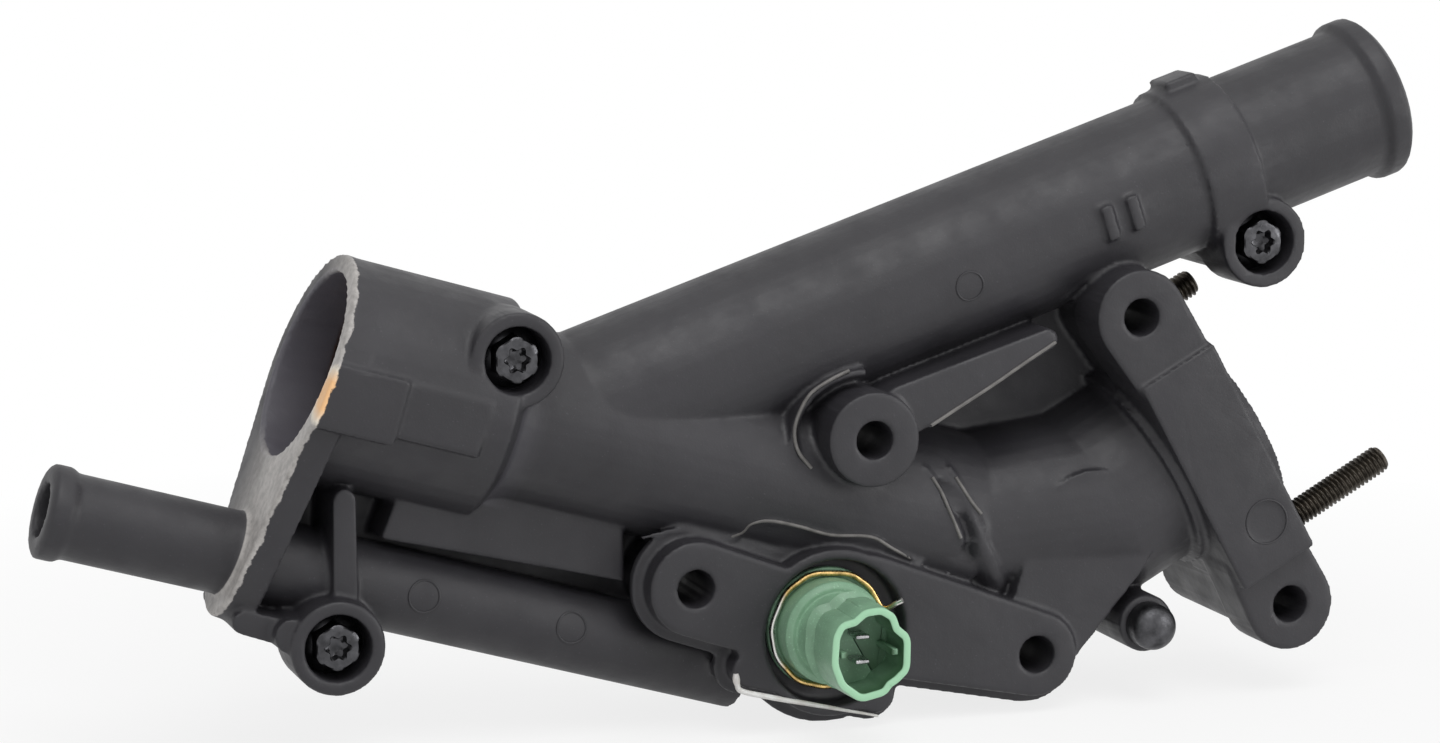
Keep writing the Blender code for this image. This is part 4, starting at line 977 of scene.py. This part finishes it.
class COOLANT_OT_sensor(bpy.types.Operator):
    """Make the sensor with its connector, terminals, probe, seal and wire clip"""

    bl_idname = "coolant.sensor"
    bl_label = "Temperature sensor"

    def execute(self, context):
        want = looks().sensor
        green = green_finish("green_nylon", tuple(want.green))
        place, length, _ = facing("sensor_body")
        body = self.body(place, length, want.wall)
        front = place.translation.y - length
        # Painted highlight on the connector's lip
        painted(body.data, "lip", lambda spot, normal: 1 - (spot.y - front) / LIP)
        # Painted shade within the connector's socket
        painted(body.data, "inside", self.inside(place, front))
        dressed(body, green, "green_nylon", HOUSING, "sensor_body")
        gold = wire_finish("gold_wire", tuple(want.gold), place.translation.x)
        clip_place = facing("sensor_clip")[0]
        clip_place.translation = Vector((place.translation.x, clip_place.translation.y, place.translation.z))
        dressed(self.clip(clip_place), gold, "brass", HOUSING, "sensor_clip")
        tin = steel_finish("tinned_metal", (0.55, 0.55, 0.56), 0.25)
        for side in ("lower", "upper"):
            node = f"terminal_{side}"
            blade = box(node + "_fine", Matrix(), *zip(*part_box(node)), 0.25 * MM)
            dressed(blade, tin, "tinned_metal", HOUSING, node)
        brass = steel_finish("probe_brass", (0.6, 0.42, 0.18), 0.3)
        place, length, radius = facing("sensor_probe")
        profile = [
            (0.0, radius * 0.3), (0.3 * MM, radius * 0.7), (PROBE_TIP, radius), (length - PROBE_NECK, radius),
            (length - PROBE_NECK, radius - NECK_LESS), (length, radius - NECK_LESS),
        ]
        probe = turned("sensor_probe_fine", place, profile, soft=0.4 * MM)
        dressed(probe, brass, "brass", HOUSING, "sensor_probe")
        place, thick, radius = facing("sensor_seal")
        seal = hoop("sensor_seal_fine", place, radius - thick / 2, thick / 2)
        rubber = rubber_finish("seal_rubber", (0.015, 0.015, 0.015))
        dressed(seal, rubber, "black_rubber", HOUSING, "sensor_seal")
        return {"FINISHED"}

    def inside(self, place, front):
        """A rule that is 1 on the connector's inner faces, below its lip, where shade is painted."""

        def rule(spot, normal):
            across = spot - place.translation
            inward = -(across.x * normal.x + across.z * normal.z) > 0.2 * MM
            floor = normal.y < -0.6 and spot.y > front + SOCKET / 2
            held = front + 0.2 * MM < spot.y < front + SOCKET + 0.6 * MM
            return 1.0 if held and (inward or floor) else 0.0

        return rule

    def body(self, place, length, wall):
        """The turned barrel and the connector's shroud with its keyed socket."""
        profile = [(t * MM, r * MM) for t, r in BARREL]
        profile += [(length + t * MM, r * MM) for t, r in BARREL_END]
        barrel = turned("barrel", place, profile, 96, 0.35 * MM)
        shroud = self.shroud(place, wall, length - SHROUD_LONG, length)
        foot = length - 10 * MM
        lock = box("lock", place, LATCH_X, LATCH_Y, (foot, length - 3 * MM), 0.4 * MM)
        ribs = [
            box("rib", place, sorted(side * x for x in RIB_X), RIB_Y, (foot, length - 0.9 * MM), 0.25 * MM)
            for side in (-1, 1)
        ]
        return fused("sensor_body_fine", [barrel, shroud, lock, *ribs])

    def shroud(self, place, wall, start, end):
        """The connector's shell: a keyed oval outline, open at the front."""
        outer = [point * MM for point in rounded(SHROUD, 0.22)]

        def shrunk(distance):
            """The outline moved inward by this distance."""
            points = []
            for k, point in enumerate(outer):
                run = outer[(k + 3) % len(outer)] - outer[k - 3]
                points.append(point + Vector((-run.y, run.x)).normalized() * distance)
            return points

        rows = [
            (start, 2 * MM), (start + 1.5 * MM, 0.0), (end - LIP, 0.0), (end - LIP * 0.3, LIP * 0.3),
            (end, LIP), (end, wall - LIP), (end - LIP * 0.3, wall - LIP * 0.3), (end - LIP, wall),
            (end - SOCKET, wall + 0.2 * MM),
        ]
        return stacked("shroud", place, [[(x, y, t) for x, y in shrunk(d)] for t, d in rows])

    def clip(self, place):
        """The wire clip: straight runs between kinks round the disc, and a hook that stands to the front."""
        hook = [Vector(point) * MM for point in HOOK]
        kinks = [
            (CLIP_R * math.cos(math.radians(turn)), CLIP_R * math.sin(math.radians(turn)), CLIP_LEVEL)
            for turn in KINKS
        ]
        path = rounded([*hook, *kinks], 0.3, closed=False)
        return wire("sensor_clip_fine", place, path, CLIP_WIRE)


# Seals and valve


class COOLANT_OT_seals(bpy.types.Operator):
    """Make the ring seals of the mouth, the outlet ring and the head port"""

    bl_idname = "coolant.seals"
    bl_label = "Seals"

    def execute(self, context):
        black = rubber_finish("black_rubber", (0.016, 0.016, 0.017))
        orange = rubber_finish("orange_rubber", (0.5, 0.22, 0.09))
        rings = (
            ("mouth_seal", orange, "orange_rubber", straight("mouth_seal", FRONT, MOUTH_ALONG)),
            ("face_seal", black, "black_rubber", slanted("face_seal")),
            ("head_gasket", black, "black_rubber", facing("head_gasket")),
        )
        for node, made, slot, (place, tall, outer) in rings:
            ring = hoop(node + "_fine", place, outer - tall / 2, tall / 2, 160)
            dressed(ring, made, slot, HOUSING, node)
        return {"FINISHED"}


# How far the valve opens, and the radii of the disc's hole, the spring's wire and the capsule's hole
DISC_HOLE = 5.8 * MM
COIL_R = 0.7 * MM
PIN_HOLE = 1.9 * MM
# The valve's cage: levels of its seat and its bridge, their thickness, and where its legs stand
SEAT_LEVEL = 21.5 * MM
BRIDGE_LEVEL = 31.2 * MM
PLATE = 1.2 * MM
SEAT_R = (11.0 * MM, 17.3 * MM)
CUP_R = (6.1 * MM, 13.6 * MM)
LEG_X = (12.5 * MM, 15.1 * MM)
LEG_Y = (-2.5 * MM, 2.5 * MM)
HANGER_X = (-2.6 * MM, 2.6 * MM)
HANGER_Y = (12.5 * MM, 14.0 * MM)
BRIDGE_X = (-13.5 * MM, 13.5 * MM)
BRIDGE_Y = (-2.4 * MM, 2.4 * MM)


class COOLANT_OT_valve(bpy.types.Operator):
    """Make the wax valve: frame, pin, disc, capsule, spring and retaining ring"""

    bl_idname = "coolant.valve"
    bl_label = "Wax valve"

    def execute(self, context):
        want = looks().valve
        plate = steel_finish("valve_steel", (0.34, 0.33, 0.31), 0.3)
        bright = steel_finish("spring_steel", (0.5, 0.5, 0.5), 0.22)
        brass = steel_finish("capsule_brass", tuple(want.brass), 0.28)
        place, length, radius = slanted("piston_pin")
        pin = turned("piston_pin_fine", place, [(0.0, 0.2 * MM), (0.0, radius), (length, radius)], 32)
        dressed(pin, bright, "spring_steel", HOUSING, "piston_pin")
        centre = place.translation

        def on_line(node):
            """The frame of a node, moved onto the pin's line."""
            found, long, reach = slanted(node)
            shift = CHAMBER_ALONG.dot(found.translation - centre)
            found.translation = centre + CHAMBER_ALONG * shift
            return found, long, reach

        place, length, radius = on_line("valve_disc")
        disc = washer("valve_disc_fine", place, DISC_HOLE, radius, 0.0, length, soft=0.4 * MM)
        dressed(disc, plate, "dark_steel", VALVE, "valve_disc")
        place, length, radius = on_line("wax_capsule")
        profile = [
            (0.0, 0.3 * MM), (0.0, radius - 1.4 * MM), (1.1 * MM, radius), (length - 4 * MM, radius),
            (length - 2.5 * MM, radius * 0.62), (length, radius * 0.62), (length, PIN_HOLE),
            (length - 3 * MM, PIN_HOLE), (length - 3 * MM, 0.3 * MM),
        ]
        dressed(turned("wax_capsule_fine", place, profile), brass, "brass", VALVE, "wax_capsule")
        place, length, radius = on_line("valve_spring")
        reach = radius - COIL_R
        steps = 40 * want.coils
        path = []
        for k in range(steps + 1):
            turn = 2 * math.pi * want.coils * k / steps
            level = COIL_R + (length - 2 * COIL_R) * k / steps
            path.append((reach * math.cos(turn), reach * math.sin(turn), level))
        spring = wire("valve_spring_fine", place, path, COIL_R)
        dressed(spring, bright, "spring_steel", HOUSING, "valve_spring")
        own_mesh(spring)
        cage = self.cage(on_line("valve_frame")[0])
        dressed(cage, plate, "dark_steel", HOUSING, "valve_frame")
        cad = frame["nodes"]["retainer_ring"]
        cad.data.materials.clear()
        cad.data.materials.append(bright)
        return {"FINISHED"}

    def cage(self, place):
        """The seat plate with its bridge, legs, hangers and spring cup."""
        top = (BRIDGE_LEVEL - 2.2 * MM, BRIDGE_LEVEL - 0.1 * MM)
        pieces = [
            washer("seat", place, *SEAT_R, SEAT_LEVEL, SEAT_LEVEL + PLATE, soft=0.3 * MM),
            washer("cup", place, *CUP_R, 0.0, PLATE, soft=0.3 * MM),
        ]
        for side in (-1, 1):
            x = sorted(side * reach for reach in LEG_X)
            pieces.append(box("leg", place, x, LEG_Y, (SEAT_LEVEL + 0.4 * MM, BRIDGE_LEVEL), 0.5 * MM))
            y = sorted(side * reach for reach in HANGER_Y)
            pieces.append(box("hanger", place, HANGER_X, y, (0.2 * MM, SEAT_LEVEL + 0.6 * MM), 0.4 * MM))
        pieces.append(box("bridge", place, BRIDGE_X, BRIDGE_Y, top, 0.6 * MM))
        return fused("valve_frame_fine", pieces)


# Stage


CAMERA_AT = Vector((-272.0 * MM, -744.1 * MM, 157.7 * MM))
LOOK_AT = Vector((-24.37 * MM, -25.0 * MM, 37.24 * MM))
SENSOR_WIDTH = 36.0
# Half the floor's side, its gap under the part, the distances between which it turns white,
# and how much of its light is its own there and near the part
FLOOR_HALF = 6.0
FLOOR_GAP = 0.4 * MM
WHITE_FROM, WHITE_TO = 0.14, 0.28
GLOW_NEAR, GLOW_MORE = 0.8, 0.2
# The two lamps: place and size
TOP_LAMP = ((0.0, -0.55, 0.95), 0.7)
SIDE_LAMP = ((0.9, -0.75, 0.15), 0.5)


class COOLANT_OT_stage(bpy.types.Operator):
    """Set the camera, the pale floor and the soft studio light"""

    bl_idname = "coolant.stage"
    bl_label = "Stage"

    def execute(self, context):
        want = looks().stage
        scene = context.scene
        camera = linked("camera", bpy.data.cameras.new("camera"))
        camera.data.lens = want.lens
        camera.data.sensor_width = SENSOR_WIDTH
        camera.data.clip_start = 0.01
        camera.location = CAMERA_AT
        camera.rotation_euler = (LOOK_AT - CAMERA_AT).to_track_quat("-Z", "Y").to_euler()
        scene.camera = camera
        self.floor()
        self.world(scene, want.fill)
        self.lamp("top_lamp", want.top, *TOP_LAMP)
        self.lamp("side_lamp", want.side, *SIDE_LAMP)
        scene.view_settings.view_transform = "Standard"
        return {"FINISHED"}

    def floor(self):
        """A pale floor that glows white to the eye but keeps the shadow near the part."""
        low = CAD_BOX[0].z - FLOOR_GAP
        mesh = bpy.data.meshes.new("floor")
        corners = [(x * FLOOR_HALF, y * FLOOR_HALF, low) for x, y in ((-1, -1), (1, -1), (1, 1), (-1, 1))]
        mesh.from_pydata(corners, [], [(0, 1, 2, 3)])
        made = Finish("pale_floor", (0.9, 0.9, 0.9), 0.8)
        path = made.nodes.new("ShaderNodeLightPath")
        seen = made.math("MAXIMUM", path.outputs["Is Camera Ray"], path.outputs["Is Glossy Ray"])
        away = made.vector("DISTANCE", made.place, Vector((0, 0, low)))
        far = made.span(away, WHITE_FROM, WHITE_TO)
        level = made.math("ADD", made.math("MULTIPLY", far, GLOW_MORE), GLOW_NEAR)
        share = made.math("MULTIPLY", seen, level)
        glow = made.add("ShaderNodeEmission", Strength=1.0)
        mix = made.nodes.new("ShaderNodeMixShader")
        made.put(mix.inputs[0], share)
        made.links.new(made.shader.outputs[0], mix.inputs[1])
        made.links.new(glow.outputs[0], mix.inputs[2])
        made.links.new(mix.outputs[0], made.nodes["Material Output"].inputs["Surface"])
        mesh.materials.append(made.material)
        linked("floor", mesh)

    def world(self, scene, fill):
        """Even light at this level, seen as white."""
        world = bpy.data.worlds.new("studio")
        scene.world = world
        world.use_nodes = True
        nodes, links = world.node_tree.nodes, world.node_tree.links
        path = nodes.new("ShaderNodeLightPath")
        seen = nodes.new("ShaderNodeMath")
        seen.operation = "MAXIMUM"
        links.new(path.outputs["Is Camera Ray"], seen.inputs[0])
        links.new(path.outputs["Is Glossy Ray"], seen.inputs[1])
        level = nodes.new("ShaderNodeMapRange")
        level.inputs["To Min"].default_value = fill
        level.inputs["To Max"].default_value = 1.0
        links.new(seen.outputs[0], level.inputs["Value"])
        nodes["Background"].inputs["Color"].default_value = (1, 1, 1, 1)
        links.new(level.outputs["Result"], nodes["Background"].inputs["Strength"])

    def lamp(self, name, power, at, size):
        """A square lamp aimed at the middle of the part."""
        lamp = linked(name, bpy.data.lights.new(name, "AREA"))
        lamp.data.energy = power
        lamp.data.size = size
        lamp.location = at
        lamp.rotation_euler = (LOOK_AT - lamp.location).to_track_quat("-Z", "Y").to_euler()


class COOLANT_PT_panel(bpy.types.Panel):
    """Lists the steps that dress the housing"""

    bl_idname = "COOLANT_PT_panel"
    bl_label = "Coolant housing"
    bl_space_type = "VIEW_3D"
    bl_region_type = "UI"
    bl_category = "Housing"

    def draw(self, context):
        """A button for each step."""
        for step in STEPS:
            self.layout.operator(step.bl_idname)


STEPS = (
    COOLANT_OT_stage,
    COOLANT_OT_housing,
    COOLANT_OT_bolts,
    COOLANT_OT_studs,
    COOLANT_OT_sensor,
    COOLANT_OT_seals,
    COOLANT_OT_valve,
)
CLASSES = (
    HousingLooks, FastenerLooks, SensorLooks, ValveLooks, StageLooks, CoolantLooks, *STEPS, COOLANT_PT_panel
)


def register():
    """Adds the classes and the scene's settings."""
    for made in CLASSES:
        bpy.utils.register_class(made)
    bpy.types.Scene.coolant_looks = PointerProperty(type=CoolantLooks)


def unregister():
    """Takes the settings and the classes away again."""
    del bpy.types.Scene.coolant_looks
    for made in reversed(CLASSES):
        bpy.utils.unregister_class(made)


def main():
    """Runs every step."""
    register()
    for step in STEPS:
        group, name = step.bl_idname.split(".")
        getattr(getattr(bpy.ops, group), name)()


if __name__ == "__main__":
    main()
